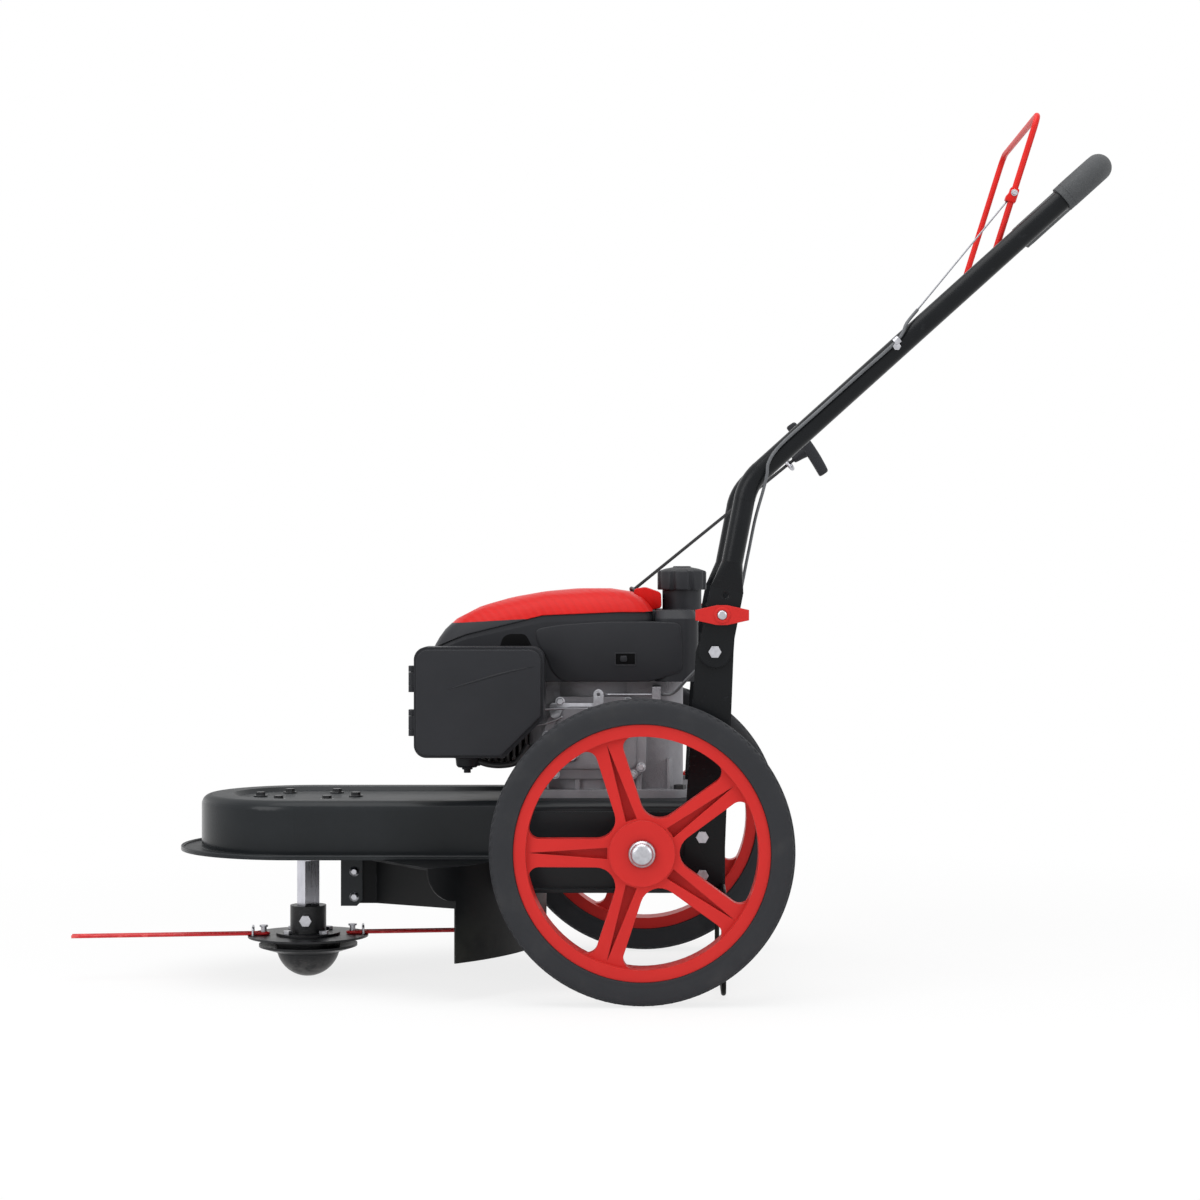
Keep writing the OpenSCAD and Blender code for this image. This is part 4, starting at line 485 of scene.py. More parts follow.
black_paint = gloss_black()
LIP_R, LIP_END_X = 152.2, -151
BEAD_R, BEAD_Z = 1.9, 160.6
FRONT_STEPS, SIDE_STEPS = 36, 8
left_end, left_front = mm(LIP_END_X, -LIP_R, BEAD_Z), mm(SPINDLE_X, -LIP_R, BEAD_Z)
right_end, right_front = mm(LIP_END_X, LIP_R, BEAD_Z), mm(SPINDLE_X, LIP_R, BEAD_Z)
bead_course = straight(left_end, left_front, SIDE_STEPS)[:-1]
for step in range(FRONT_STEPS + 1):
    angle = radians(-90 - 180 * step / FRONT_STEPS)
    bead_course.append(mm(SPINDLE_X + LIP_R * cos(angle), LIP_R * sin(angle), BEAD_Z))
bead_course += straight(right_front, right_end, SIDE_STEPS)[1:]
bead = tube_piece("deck_lip_bead", bead_course, BEAD_R / 1000, up=Vector((0, 0, 1)))
fit(bead, black_paint, "frame")
dress_nodes(("deck_shell", "belt_guard", "left_side_plate", "right_side_plate", "guard_brackets"),
            black_paint)


# Fasteners, axle and fittings: zinc plated steel bolts, washers and caps, and a turned steel axle.
# The plating is bright, a little cloudy, and lighter where its edges are rubbed.
def zinc_plate():
    material, place = start("zinc_plate")
    cloud = place.grain(0.006, 4.0)
    fine = place.stretched(1, 6, 1).grain(0.0015)
    rub = rubbed(place, 0.0006)
    colour = (0.5 * rub).mix(cloud.mix(tone(150, 151, 156), tone(214, 214, 220)), tone(240, 240, 242))
    return surface(material, place, colour, 0.2 + 0.26 * cloud, fine, 0.0001, 0.0006, Metallic=1.0)


def dark_plate():
    material, place = start("dark_plate")
    cloud = place.grain(0.008, 4.0)
    fine = place.grain(0.0012)
    rub = rubbed(place, 0.0006) * place.grain(0.01).between(0.4, 0.7)
    colour = (0.6 * rub).mix(cloud.mix(tone(22, 23, 25), tone(44, 45, 48)), tone(120, 120, 124))
    return surface(material, place, colour, 0.3 + 0.2 * cloud, fine, 0.0001, 0.0006,
                   Specular_IOR_Level=0.5)


bright = zinc_plate()
dark = dark_plate()
dress_nodes(("axle", "frame_bolts", "guard_bolts"), bright)


def turn_form(form, centre, axis, profile, around=36, loop=False):
    """Adds a turned shape to a form: radius and height along an axis, closed where the radius is zero."""
    lean = Vector(axis).to_track_quat("Z", "Y").to_matrix()
    rings = []
    for radius, height in profile:
        count = 1 if radius == 0 else around
        rings.append([form.verts.new(centre + lean @ Vector((radius * cos(2 * pi * k / around),
                      radius * sin(2 * pi * k / around), height)) / 1000) for k in range(count)])
    pairs = list(zip(rings, rings[1:])) + ([(rings[-1], rings[0])] if loop else [])
    for a, b in pairs:
        for k in range(around):
            n = (k + 1) % around
            corners = [a[k % len(a)], a[n % len(a)], b[n % len(b)], b[k % len(b)]]
            form.faces.new(list(dict.fromkeys(corners)))
    return form


WHEEL_Y = 230
WHEEL_Z = 175
CAP_PROFILE = [(7.3, 25.0), (15.6, 25.9), (15.6, 27.4), (15.0, 28.6), (13.8, 29.6), (13.2, 30.0),
               (12.6, 31.2), (11.2, 33.2), (9.0, 34.4), (6.0, 34.9), (0, 35.0)]
SPACER_PROFILE = [(7.2, -93.0), (10.5, -93.0), (10.5, -28.2), (7.2, -28.2)]
cap_form = bmesh.new()
for side in (-1, 1):
    hub = mm(0, side * WHEEL_Y, WHEEL_Z)
    turn_form(cap_form, hub, (0, side, 0), CAP_PROFILE)
    turn_form(cap_form, hub, (0, side, 0), SPACER_PROFILE, loop=True)
caps = mesh_piece("axle_caps", cap_form)
fit(caps, bright, "frame", sharp=40)
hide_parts("axle_fittings")
dress_nodes(("deck_bolts",), dark)


# Drive below the engine: a cast bearing housing with two ball bearings, two iron pulleys and a rubber belt.
# They are out of sight under the deck, and plain machine parts.
def sand_cast():
    material, place = start("sand_cast")
    grit = place.grain(0.0016, 5.0)
    patch = place.grain(0.03, 3.0)
    rub = rubbed(place, 0.001)
    colour = (0.35 * rub).mix(patch.mix(tone(120, 119, 124), tone(158, 157, 162)), tone(192, 191, 195))
    return surface(material, place, colour, 0.46 + 0.2 * grit, grit, 0.0006, 0.0012, Metallic=0.35)


def grey_iron():
    material, place = start("grey_iron")
    grit = place.grain(0.002, 5.0)
    patch = place.grain(0.02)
    colour = patch.mix(tone(62, 61, 62), tone(92, 90, 90))
    return surface(material, place, colour, 0.45 + 0.2 * patch, grit, 0.0005, 0.001, Metallic=0.8)


def belt_rubber():
    material, place = start("belt_rubber")
    cord = place.stretched(1, 1, 12).grain(0.006)
    dust = place.grain(0.02).between(0.5, 0.8)
    colour = (0.4 * dust).mix(cord.mix(tone(28, 28, 29), tone(42, 42, 43)), tone(98, 96, 92))
    return surface(material, place, colour, 0.75 + 0.15 * cord, cord, 0.0005, 0.0006)


cast_grey = sand_cast()
iron = grey_iron()
dress_nodes(("bearing_housing", "crankcase"), cast_grey)
dress_nodes(("drive_pulley", "spindle_pulley", "cylinder_block", "flywheel"), iron)
dress_nodes(("drive_belt",), belt_rubber())
dress_nodes(("spindle_bearings", "crankshaft"), bright)


# Line head: a square bright bar drives a black steel collar, the line plate, and a dish and dome that
# glide over the ground. The dome is polished by wear at the bottom.
def glide_steel():
    material, place = start("glide_steel")
    cloud = place.grain(0.02, 4.0)
    fine = place.grain(0.0014)
    scratch = place.stretched(1, 14, 14).grain(0.01, 2.0).between(0.56, 0.66)
    worn = (1 - place.part(2).between(0.0, 0.03)) * place.grain(0.012).between(0.3, 0.7)
    fresh = cloud.mix(tone(19, 20, 22), tone(36, 37, 40))
    colour = (0.6 * worn).mix((0.3 * scratch).mix(fresh, tone(92, 92, 96)), tone(140, 138, 136))
    return surface(material, place, colour, 0.26 + 0.2 * cloud, fine, 0.0001, 0.001,
                   Specular_IOR_Level=0.28)


def ground_bar():
    material, place = start("ground_bar")
    lay = place.stretched(1, 1, 0.05).grain(0.0016, 4.0)
    cloud = place.grain(0.02)
    rub = rubbed(place, 0.001)
    colour = (0.5 * rub).mix(cloud.mix(tone(176, 176, 184), tone(226, 226, 234)), tone(246, 246, 248))
    return surface(material, place, colour, 0.2 + 0.18 * lay, lay, 0.0002, 0.0008, Metallic=1.0)


glide = glide_steel()
dress_nodes(("head_collar", "line_plate", "glide_dish", "glide_dome"), glide)
dress_nodes(("spindle_shaft",), ground_bar())
dress_nodes(("head_bolts", "line_posts"), bright)


# Debris guard and rear stand: a bent steel guard in satin black behind the head, and a bent rod stand.
# Grass has left a dull film low on the guard.
def satin_black():
    material, place = start("satin_black")
    peel = place.grain(0.0018, 2.0)
    film = place.grain(0.06, 5.0)
    low = 1 - place.part(2).between(0.05, 0.13)
    rub = rubbed(place, 0.0012) * place.grain(0.02).between(0.4, 0.7)
    fresh = film.mix(tone(7, 8, 9), tone(15, 16, 18))
    stain = 0.12 * low * film.between(0.4, 0.7)
    colour = (0.5 * rub).mix(stain.mix(fresh, tone(92, 94, 84)), tone(104, 104, 108))
    return surface(material, place, colour, 0.3 + 0.2 * film, peel, 0.00006, 0.0012, Specular_IOR_Level=0.1)


satin = satin_black()
dress_nodes(("guard", "rear_stand"), satin)


# Wheels: five-spoke rims moulded in red plastic, running on nylon bushes, with solid rubber tyres.
# The tyres have two grooves round the tread and fine notches along both shoulders.
def red_moulding():
    material, place = start("red_moulding")
    spark = place.grain(0.0011, 2.0)
    flow = place.grain(0.09, 3.0)
    rub = rubbed(place, 0.0012)
    scuff = place.stretched(1, 1, 3).grain(0.02, 5.0).between(0.6, 0.75)
    fresh = flow.mix(tone(190, 36, 34), tone(205, 46, 42))
    colour = (0.15 * scuff).mix((0.25 * rub).mix(fresh, tone(230, 84, 76)), tone(180, 56, 50))
    return surface(material, place, colour, 0.36 + 0.12 * flow + 0.2 * scuff, spark, 0.00005, 0.0014,
                   Specular_IOR_Level=0.18)


def tyre_rubber():
    material, place = start("tyre_rubber")
    fine = place.grain(0.0012, 4.0)
    film = place.grain(0.05, 5.0)
    dust = film.between(0.5, 0.8)
    rub = rubbed(place, 0.001)
    fresh = film.mix(tone(44, 45, 48), tone(54, 55, 58))
    colour = (0.15 * rub).mix((0.12 * dust).mix(fresh, tone(96, 93, 88)), tone(92, 92, 92))
    return surface(material, place, colour, 0.68 + 0.16 * film, fine, 0.00008, 0.0008,
                   Specular_IOR_Level=0.14)


def black_nylon():
    material, place = start("black_nylon")
    film = place.grain(0.01)
    colour = film.mix(tone(30, 30, 32), tone(46, 46, 48))
    return surface(material, place, colour, 0.4 + 0.2 * film, place.grain(0.001), 0.0001, 0.0006)


# Half of the tyre's section from the bead to the middle of the tread: radius, distance from the middle,
# and how much of the notch depth is taken off there
TYRE_HALF = [
    (140.8, 0.0, 0), (140.8, 14.7, 0), (146.8, 14.7, 0), (146.8, 20.6, 0), (147.6, 21.9, 0),
    (150.0, 22.3, 0), (151.5, 21.9, 0), (153.0, 22.3, 0), (160.0, 22.5, 0), (166.0, 22.4, 0),
    (169.0, 21.9, 0), (171.3, 20.8, 0.2), (173.0, 18.9, 1), (174.0, 16.4, 1), (174.3, 13.4, 1),
    (174.5, 12.2, 0), (174.9, 7.4, 0), (172.6, 6.9, 0), (172.6, 4.4, 0), (175.0, 3.9, 0), (175.0, 0.0, 0),
]
NOTCHES = 100
NOTCH_DEPTH = 1.5
NOTCH_NARROWING = 0.03


def tyre_piece(name, side):
    """One tyre, with the notches of its two shoulders set half a pitch apart."""
    section = [(r, -z, cut, -1) for r, z, cut in TYRE_HALF[:-1]]
    section += [(r, z, cut, 1) for r, z, cut in reversed(TYRE_HALF)][:-1]
    form = bmesh.new()
    columns = NOTCHES * 4
    loops = []
    for j in range(columns):
        a = 2 * pi * j / columns
        loop = []
        for r, z, cut, edge in section:
            low = (j + (0 if edge < 0 else 2)) % 4 >= 2
            radius = r - (NOTCH_DEPTH * cut if low else 0)
            across = side * WHEEL_Y + z * (1 - NOTCH_NARROWING * cut if low else 1)
            loop.append(form.verts.new(mm(radius * cos(a), across, WHEEL_Z + radius * sin(a))))
        loops.append(loop)
    join_rings(form, loops, closed=True)
    return mesh_piece(name, form)


red = red_moulding()
rubber = tyre_rubber()
nylon = black_nylon()
for side, word in ((-1, "left"), (1, "right")):
    tyre = tyre_piece(word + "_tread_tyre", side)
    fit(tyre, rubber, word + "_wheel", sharp=32)
    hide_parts(word + "_tyre")
    dress_nodes((word + "_rim",), red)
    dress_nodes((word + "_bushes",), nylon)


# Engine: a cast block under a black moulded blower shroud, with a fuel tank behind it and the air filter
# in a hinged box at its side. The tank's moulded screw cap has eight broad lobes and a low cone on top.
def black_moulding():
    material, place = start("black_moulding")
    spark = place.grain(0.0009, 2.0)
    flow = place.grain(0.08, 4.0)
    rub = rubbed(place, 0.0015)
    dust = upward(place) * place.grain(0.03, 5.0).between(0.45, 0.8)
    fresh = flow.mix(tone(34, 35, 38), tone(46, 47, 51))
    colour = (0.06 * dust).mix((0.25 * rub).mix(fresh, tone(96, 97, 101)), tone(140, 136, 128))
    return surface(material, place, colour, 0.4 + 0.14 * flow, spark, 0.00006, 0.0018,
                   Specular_IOR_Level=0.18)


def filter_foam():
    material, place = start("filter_foam")
    cell = place.cells(0.0018)
    colour = cell.mix(tone(36, 35, 34), tone(92, 90, 86))
    return surface(material, place, colour, 0.9 - 0.1 * cell, cell, 0.0012, 0.0006)


PLUG_SHELL_X = (-0.2168, -0.2158)


def plug_ceramic():
    material, place = start("plug_ceramic")
    film = place.grain(0.006)
    steel = place.part(0).between(*PLUG_SHELL_X)
    white = film.mix(tone(222, 220, 212), tone(238, 237, 232))
    colour = steel.mix(white, tone(168, 168, 172))
    return surface(material, place, colour, 0.18 + 0.2 * film, film, 0.0001, 0.0006, Metallic=steel)


def burnt_steel():
    material, place = start("burnt_steel")
    heat = place.grain(0.05, 4.0)
    fine = place.grain(0.0015, 4.0)
    rust = place.grain(0.012, 5.0).between(0.55, 0.8)
    colour = (0.6 * rust).mix(heat.mix(tone(96, 92, 88), tone(148, 138, 126)), tone(112, 76, 52))
    return surface(material, place, colour, 0.42 + 0.3 * rust, fine, 0.0004, 0.001, Metallic=0.85)


moulding = black_moulding()
dress_nodes(("blower_shroud", "fuel_tank", "air_filter_base", "air_filter_cover"), moulding)
FUEL_CAP_R, FUEL_CAP_BORE_R, LOBES, LOBE_DIP = 30, 24.3, 8, 2.4
FUEL_CAP_PROFILE = [(0, 22.5), (FUEL_CAP_BORE_R, 22.5), (FUEL_CAP_BORE_R, 0), (29.2, 0), (FUEL_CAP_R, 0.9),
                    (FUEL_CAP_R, 21.4), (28.9, 23), (20, 26), (11.2, 27.6), (10.6, 28.8), (9.4, 29), (0, 29)]
cap_low, cap_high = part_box("fuel_cap")
cap_seat = Vector(((cap_low.x + cap_high.x) / 2, (cap_low.y + cap_high.y) / 2, cap_low.z))
fuel_cap_form = turn_form(bmesh.new(), cap_seat, (0, 0, 1), FUEL_CAP_PROFILE, around=24 * LOBES)
for vert in fuel_cap_form.verts:
    off = vert.co - cap_seat
    reach = hypot(off.x, off.y) * 1000
    if reach > FUEL_CAP_BORE_R:
        share = (reach - FUEL_CAP_BORE_R) / (FUEL_CAP_R - FUEL_CAP_BORE_R)
        dip = LOBE_DIP * share * max(0, -cos(LOBES * atan2(off.y, off.x))) ** 4
        vert.co.xy = cap_seat.xy + off.xy * (1 - dip / reach)
fuel_cap = mesh_piece("lobed_fuel_cap", fuel_cap_form)
fit(fuel_cap, moulding, "cap", sharp=40)
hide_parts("fuel_cap")


# Red cover: a domed moulding in red plastic over the starter, seated on top of the shroud, with fine
# slanting ribs that hide sink marks, drawn as a bump with painted shade along them. Below its low front
# edge the black nose of the shroud shows.
def ribbed_red():
    material, place = start("ribbed_red")
    flow = place.grain(0.09, 3.0)
    rub = rubbed(place, 0.0012)
    ribs = {"Vector": place.stretched(1, 0.6, 0.3), "Scale": 62.0}
    slant = place.node("TexWave", {"bands_direction": "DIAGONAL"}, ribs, 1)
    fresh = flow.mix(tone(190, 18, 15), tone(205, 26, 22))
    # Painted shade: darker red bands laid along the same wave as the rib relief.
    painted_rib_shade = 0.1 * slant.between(0.55, 0.95)
    colour = (0.25 * rub).mix(painted_rib_shade.mix(fresh, tone(150, 16, 16)), tone(230, 84, 76))
    return surface(material, place, colour, 0.34 + 0.12 * flow, slant, 0.00018, 0.0016,
                   Specular_IOR_Level=0.14)


NOSE_SLOPE = 0.06
NOSE_STEP = 0.0004
WELD = 0.00001
nose_place = mm(-217, 0, 434)
nose_normal = Vector((-NOSE_SLOPE, 0, 1))
cover_form = bmesh.new()
cover_form.from_mesh(nodes["starter_cover"].data)
bmesh.ops.remove_doubles(cover_form, verts=cover_form.verts[:], dist=WELD)
bmesh.ops.bisect_plane(cover_form, geom=cover_form.verts[:] + cover_form.edges[:] + cover_form.faces[:],
                       plane_co=nose_place, plane_no=nose_normal)
nose_form = cover_form.copy()
for form, keep in ((cover_form, 1), (nose_form, -1)):
    other = [face for face in form.faces
             if keep * (face.calc_center_median() - nose_place).dot(nose_normal) < 0]
    bmesh.ops.delete(form, geom=other, context="FACES")
nose_form.normal_update()
for vert, step in [(vert, vert.normal * NOSE_STEP) for vert in nose_form.verts]:
    vert.co += step
red_cover = mesh_piece("red_cover_shell", cover_form)
nose = mesh_piece("shroud_nose", nose_form)
cover_red = ribbed_red()
fit(red_cover, cover_red, "frame", sharp=35)
fit(nose, moulding, "frame", sharp=35)
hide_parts("starter_cover")


# Side panel of the engine: a raised moulded panel over the shroud and the tank, with a finger slot above
# the filter box and a small latch pocket, their dark insides drawn as near-black plates of painted shade. At
# the back of the red cover a moulded tongue reaches the tank's neck, and a black web closes the slit below
# it.
def inset(outline, step):
    """An outline moved inwards by a step, whichever way round it runs."""
    count = len(outline)
    area = sum(outline[i - 1][0] * outline[i][1] - outline[i][0] * outline[i - 1][1] for i in range(count))
    turn = 1 if area > 0 else -1
    moved = []
    for i in range(count):
        here, back, ahead = Vector(outline[i]), Vector(outline[i - 1]), Vector(outline[(i + 1) % count])
        a, b = (here - back).normalized(), (ahead - here).normalized()
        normal = Vector((-(a.y + b.y), a.x + b.x)).normalized() * turn
        lean = max(normal.dot(Vector((-a.y, a.x)) * turn), 0.5)
        moved.append(tuple(here + normal * step / lean))
    return moved


def rounded(outline, radius, steps=4):
    """An outline with each corner rounded off."""
    count = len(outline)
    smooth = []
    for i in range(count):
        here, back, ahead = Vector(outline[i]), Vector(outline[i - 1]), Vector(outline[(i + 1) % count])
        reach = min(radius, (here - back).length / 2.2, (ahead - here).length / 2.2)
        first = here + (back - here).normalized() * reach
        last = here + (ahead - here).normalized() * reach
        for k in range(steps + 1):
            t = k / steps
            smooth.append(tuple((1 - t) ** 2 * first + 2 * t * (1 - t) * here + t * t * last))
    return smooth


def plate_form(form, outline, y_back, y_face, edge):
    """Adds a flat plate to a form: an outline in X and Z from a back to a face in Y, with rounded edges."""
    back = edge if y_face > y_back else -edge
    levels = [(0, y_back), (0, y_face - back), (edge * 0.3, y_face - back * 0.3), (edge, y_face)]
    rings = []
    for step, y in levels:
        shape = inset(outline, step) if step else outline
        rings.append([form.verts.new(mm(x, y, z)) for x, z in shape])
    join_rings(form, rings)
    form.faces.new(rings[0])
    form.faces.new(rings[-1])
    return form


def plate_piece(name, outline, y_back, y_face, edge, material, body="frame"):
    """A flat plate as a finished piece."""
    piece = mesh_piece(name, plate_form(bmesh.new(), outline, y_back, y_face, edge))
    fit(piece, material, body, sharp=40)
    return piece


# A near-black matt finish: painted shade for the dark inside of hollows.
def painted_shade_black():
    material, place = start("painted_shade_black")
    fine = place.grain(0.002, 4.0)
    colour = fine.mix(tone(6, 6, 7), tone(14, 14, 15))
    return surface(material, place, colour, 0.8 + 0.15 * fine, fine, 0.0001, 0.0004,
                   Specular_IOR_Level=0.1)


TONGUE = [(-12, 474), (2, 476.5), (21.5, 469.5), (22.2, 451), (10, 449), (-8, 452)]
WEB = [(4, 430), (4, 449), (18, 449), (18, 430)]
BLOCK_EDGE = 1.2
for name, outline, y_left, y_right, material, slot_name in (
    ("cover_tongue", rounded(TONGUE, 4), -36, 24, cover_red, "red_plastic"),
    ("shroud_web", rounded(WEB, 2), -78, 60, moulding, "black_plastic"),
):
    block_form = bmesh.new()
    for y_face in (y_left, y_right):
        plate_form(block_form, outline, (y_left + y_right) / 2, y_face, BLOCK_EDGE)
    fit(mesh_piece(name, block_form), material, "frame", sharp=40)
PANEL_BACK, PANEL_FACE = -88, -101.4
PANEL = [(-129.5, 426.7), (-98.1, 432.1), (-43.4, 435.7), (11.4, 435.7), (45.6, 434.1), (47.5, 376.0),
         (8.7, 364.6), (-98.1, 364.6), (-110.3, 378.8), (-114.5, 392.5), (-124.1, 406.2)]
plate_piece("side_panel", rounded(PANEL, 9), PANEL_BACK, PANEL_FACE, 1.3, moulding)
POCKET = [(-34, 399), (-8, 399), (-8, 383), (-34, 383)]
LATCH = [(-27, 395), (-19, 395), (-19, 388), (-27, 388)]
LIP_W, LIP_SINK, LIP_RISE = 1.6, 0.4, 0.7
lip_back, lip_face = PANEL_FACE + LIP_SINK, PANEL_FACE - LIP_RISE
outer = rounded(POCKET, 2)
inner = inset(outer, LIP_W)
lip_form = bmesh.new()
lip_levels = [(outer, lip_back), (outer, lip_face), (inner, lip_face), (inner, lip_back)]
lip_rings = [[lip_form.verts.new(mm(x, y, z)) for x, z in shape] for shape, y in lip_levels]
join_rings(lip_form, lip_rings, closed=True)
fit(mesh_piece("pocket_lip", lip_form, smooth=False), moulding, "frame")
# Painted shade: the pocket floor is a near-black plate standing in for the dark inside the pocket.
painted_shade = painted_shade_black()
plate_piece("pocket_floor", inset(outer, 1.2), PANEL_FACE + 0.6, PANEL_FACE - 0.15, 0.1, painted_shade)
plate_piece("pocket_latch", rounded(LATCH, 2), lip_back, PANEL_FACE - 1.3, 0.5, moulding)
# Painted shade: the finger slot is a near-black plate standing in for the dark of the slot.
SLOT = [(-171, 404), (-167, 417), (-160, 421), (-140, 421), (-131, 404)]
SLOT_BACK, SLOT_FACE = -97.5, -100.5
plate_piece("finger_slot", rounded(SLOT, 5), SLOT_BACK, SLOT_FACE, 0.4, painted_shade)


# Filter box: a black moulded lid that swings on two hinge tabs over the foam element. One slanting crease
# stands out across its face, in the same moulding, and fades at both ends.
CREASE = [(-228.4, 357.5), (-216, 361.2), (-202.9, 365.0), (-189, 369.2), (-176.2, 373.0),
          (-163, 376.6), (-149.3, 379.8), (-137, 382.4), (-125.1, 384.4)]
CREASE_SECTION = ((-1.6, -0.2), (-0.5, 0.75), (0.5, 0.75), (1.6, -0.2))
CREASE_ACROSS = Vector((-0.3, 0.95))
CREASE_SINK = 0.1
LID_FACE = -162.5
crease_form = bmesh.new()
crease_rows = []
for index, (x, z) in enumerate(CREASE):
    share = sin(pi * (index + 0.15) / (len(CREASE) - 0.7)) ** 0.5
    row = []
    for off, rise in CREASE_SECTION:
        step = CREASE_ACROSS * off * share
        row.append(crease_form.verts.new(mm(x + step.x, LID_FACE - rise * share + CREASE_SINK, z + step.y)))
    crease_rows.append(row)
join_rings(crease_form, crease_rows)
crease_form.faces.new(crease_rows[0])
crease_form.faces.new(crease_rows[-1])
fit(mesh_piece("filter_lid_crease", crease_form), moulding, "filter_cover")


# Castings and small fittings of the engine: a bolted side cover on the crankcase, the carburettor with its
# control rods and fuel hose, and the spark plug with its rubber cap and lead. A pressed steel muffler and
# the brake lever complete it.
def hex_form(form, centre, axis, width, height):
    """Adds a washer and a chamfered hexagon head to a form."""
    washer_r, corner_r, washer_t = width * 0.72, width / sqrt(3), 1.2
    turn_form(form, centre, axis, [(0, 0), (washer_r, 0), (washer_r, washer_t), (0, washer_t)], around=24)
    head = [(0, washer_t), (corner_r, washer_t), (corner_r, height * 0.8), (width * 0.47, height),
            (0, height)]
    turn_form(form, centre, axis, head, around=6)


COVER_BACK, COVER_FACE = -60, -80
COVER_STEP, COVER_RISE = 12, 5
SIDE_COVER = [(-122, 258), (-122, 300), (-104, 346), (-16, 346), (4, 330), (4, 258), (-10, 246), (-108, 246)]
raised_face = COVER_FACE - COVER_RISE
plate_piece("side_cover", rounded(SIDE_COVER, 9), COVER_BACK, COVER_FACE, 2.0, cast_grey)
plate_piece("side_cover_face", rounded(inset(SIDE_COVER, COVER_STEP), 9), COVER_FACE + 1, raised_face, 3.0,
            cast_grey)
BOLT_INSET, BOLT_W, BOLT_H = 6.5, 8, 6
COVER_PLUGS = ((-30, 300), (-86, 276))
COVER_PLUG_PROFILE = [(0, 0), (9, 0), (9, 3), (7.5, 4), (7.5, 8), (6.5, 9), (0, 9)]
bolt_form = bmesh.new()
for x, z in inset(SIDE_COVER, BOLT_INSET):
    hex_form(bolt_form, mm(x, COVER_FACE, z), (0, -1, 0), BOLT_W, BOLT_H)
for x, z in COVER_PLUGS:
    turn_form(bolt_form, mm(x, raised_face, z), (0, -1, 0), COVER_PLUG_PROFILE, around=28)
fit(mesh_piece("side_cover_bolts", bolt_form), bright, "frame", sharp=30)
ROD_D = 2.8
ROD_ROUTES = [
    ((-196, -92, 318), (-118, -84, 330), (-62, -84, 331)),
    ((-190, -84, 306), (-124, -88, 312), (-96, -88, 322)),
]
for number, route in enumerate(ROD_ROUTES):
    course = eased([mm(*spot) for spot in route], 8)
    rod = tube_piece("control_rod_%d" % (number + 1), course, ROD_D / 2000, sides=10)
    fit(rod, wire_finish, "frame")
BRACKET = [(-112, 322), (-112, 338), (-52, 338), (-48, 326), (-60, 318), (-100, 316)]
BRACKET_BACK, BRACKET_FACE = -81, -83
plate_piece("rod_bracket", rounded(BRACKET, 4), BRACKET_BACK, BRACKET_FACE, 0.4, bright)
CARB_X, CARB_Y, CARB_LOW = -211, -77, 254
CARB_BODY_BACK, CARB_BODY_FACE = -59, -101.6
CARB_FLANGE_BACK, CARB_FLANGE_FACE = -52.2, -60
CARB_EDGE = 1.5
CARB_BODY = [(-225, 276), (-225, 321), (-197, 321), (-197, 276)]
CARB_FLANGE = [(-229, 278), (-229, 320), (-193, 320), (-193, 278)]
BOWL_PROFILE = [(0, 0), (4.2, 0), (4.2, 3.6), (6.4, 4.2), (6.4, 6), (11, 6.6), (13.2, 9), (14.2, 17.6),
                (17, 18), (17.6, 18.8), (17.6, 22), (17, 22.8), (0, 22.8)]
carb_form = turn_form(bmesh.new(), mm(CARB_X, CARB_Y, CARB_LOW), (0, 0, 1), BOWL_PROFILE)
plate_form(carb_form, rounded(CARB_BODY, 4), CARB_BODY_BACK, CARB_BODY_FACE, CARB_EDGE)
plate_form(carb_form, rounded(CARB_FLANGE, 7), CARB_FLANGE_BACK, CARB_FLANGE_FACE, CARB_EDGE)
carb = mesh_piece("carburettor_casting", carb_form)
fit(carb, moulding, "frame", sharp=35)
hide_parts("carburettor")
HOSE_D = 7.2
HOSE = [(-198, -77, 268), (-186, -78, 264), (-170, -80, 263), (-154, -81, 266), (-145, -81, 276),
        (-138, -80, 288)]
hose = tube_piece("fuel_hose", eased([mm(*spot) for spot in HOSE], 6), HOSE_D / 2000)
fit(hose, nylon, "frame")
dress_nodes(("air_filter_element",), filter_foam())
dress_nodes(("spark_plug",), plug_ceramic())
PLUG_END = (-236, 18, 305.2)
BOOT_PROFILE = [(0, -1), (9.4, -1), (10, 0.4), (10, 18.6), (9.5, 20.6), (7.6, 22), (0, 22.6)]
boot_form = turn_form(bmesh.new(), mm(*PLUG_END), (-1, 0, 0), BOOT_PROFILE, around=32)
fit(mesh_piece("plug_boot", boot_form), nylon, "frame", sharp=40)
LEAD_D = 6.8
LEAD = [(-250, 18, 307), (-252, 18, 318), (-250, 19, 334), (-242, 22, 350), (-228, 26, 368)]
lead = tube_piece("plug_lead", eased([mm(*spot) for spot in LEAD], 6), LEAD_D / 2000)
fit(lead, nylon, "frame")
dress_nodes(("muffler",), burnt_steel())
dress_nodes(("brake_lever",), bright)


# Handle: one bent steel tube in gloss black with flattened lower ends, bolted to two uprights, with a foam
# sleeve on the cross bar and red wing knobs that let it fold. The stop bail is one bent red rod with a clip
# for the wire, and the starter's grip is a flat moulded bar.
def grip_foam():
    material, place = start("grip_foam")
    cell = place.cells(0.0016)
    flow = place.grain(0.05)
    colour = (0.5 * cell).mix(flow.mix(tone(52, 54, 56), tone(66, 68, 70)), tone(84, 86, 88))
    return surface(material, place, colour, 0.56 + 0.14 * flow, cell, 0.0003, 0.001, Specular_IOR_Level=0.32)


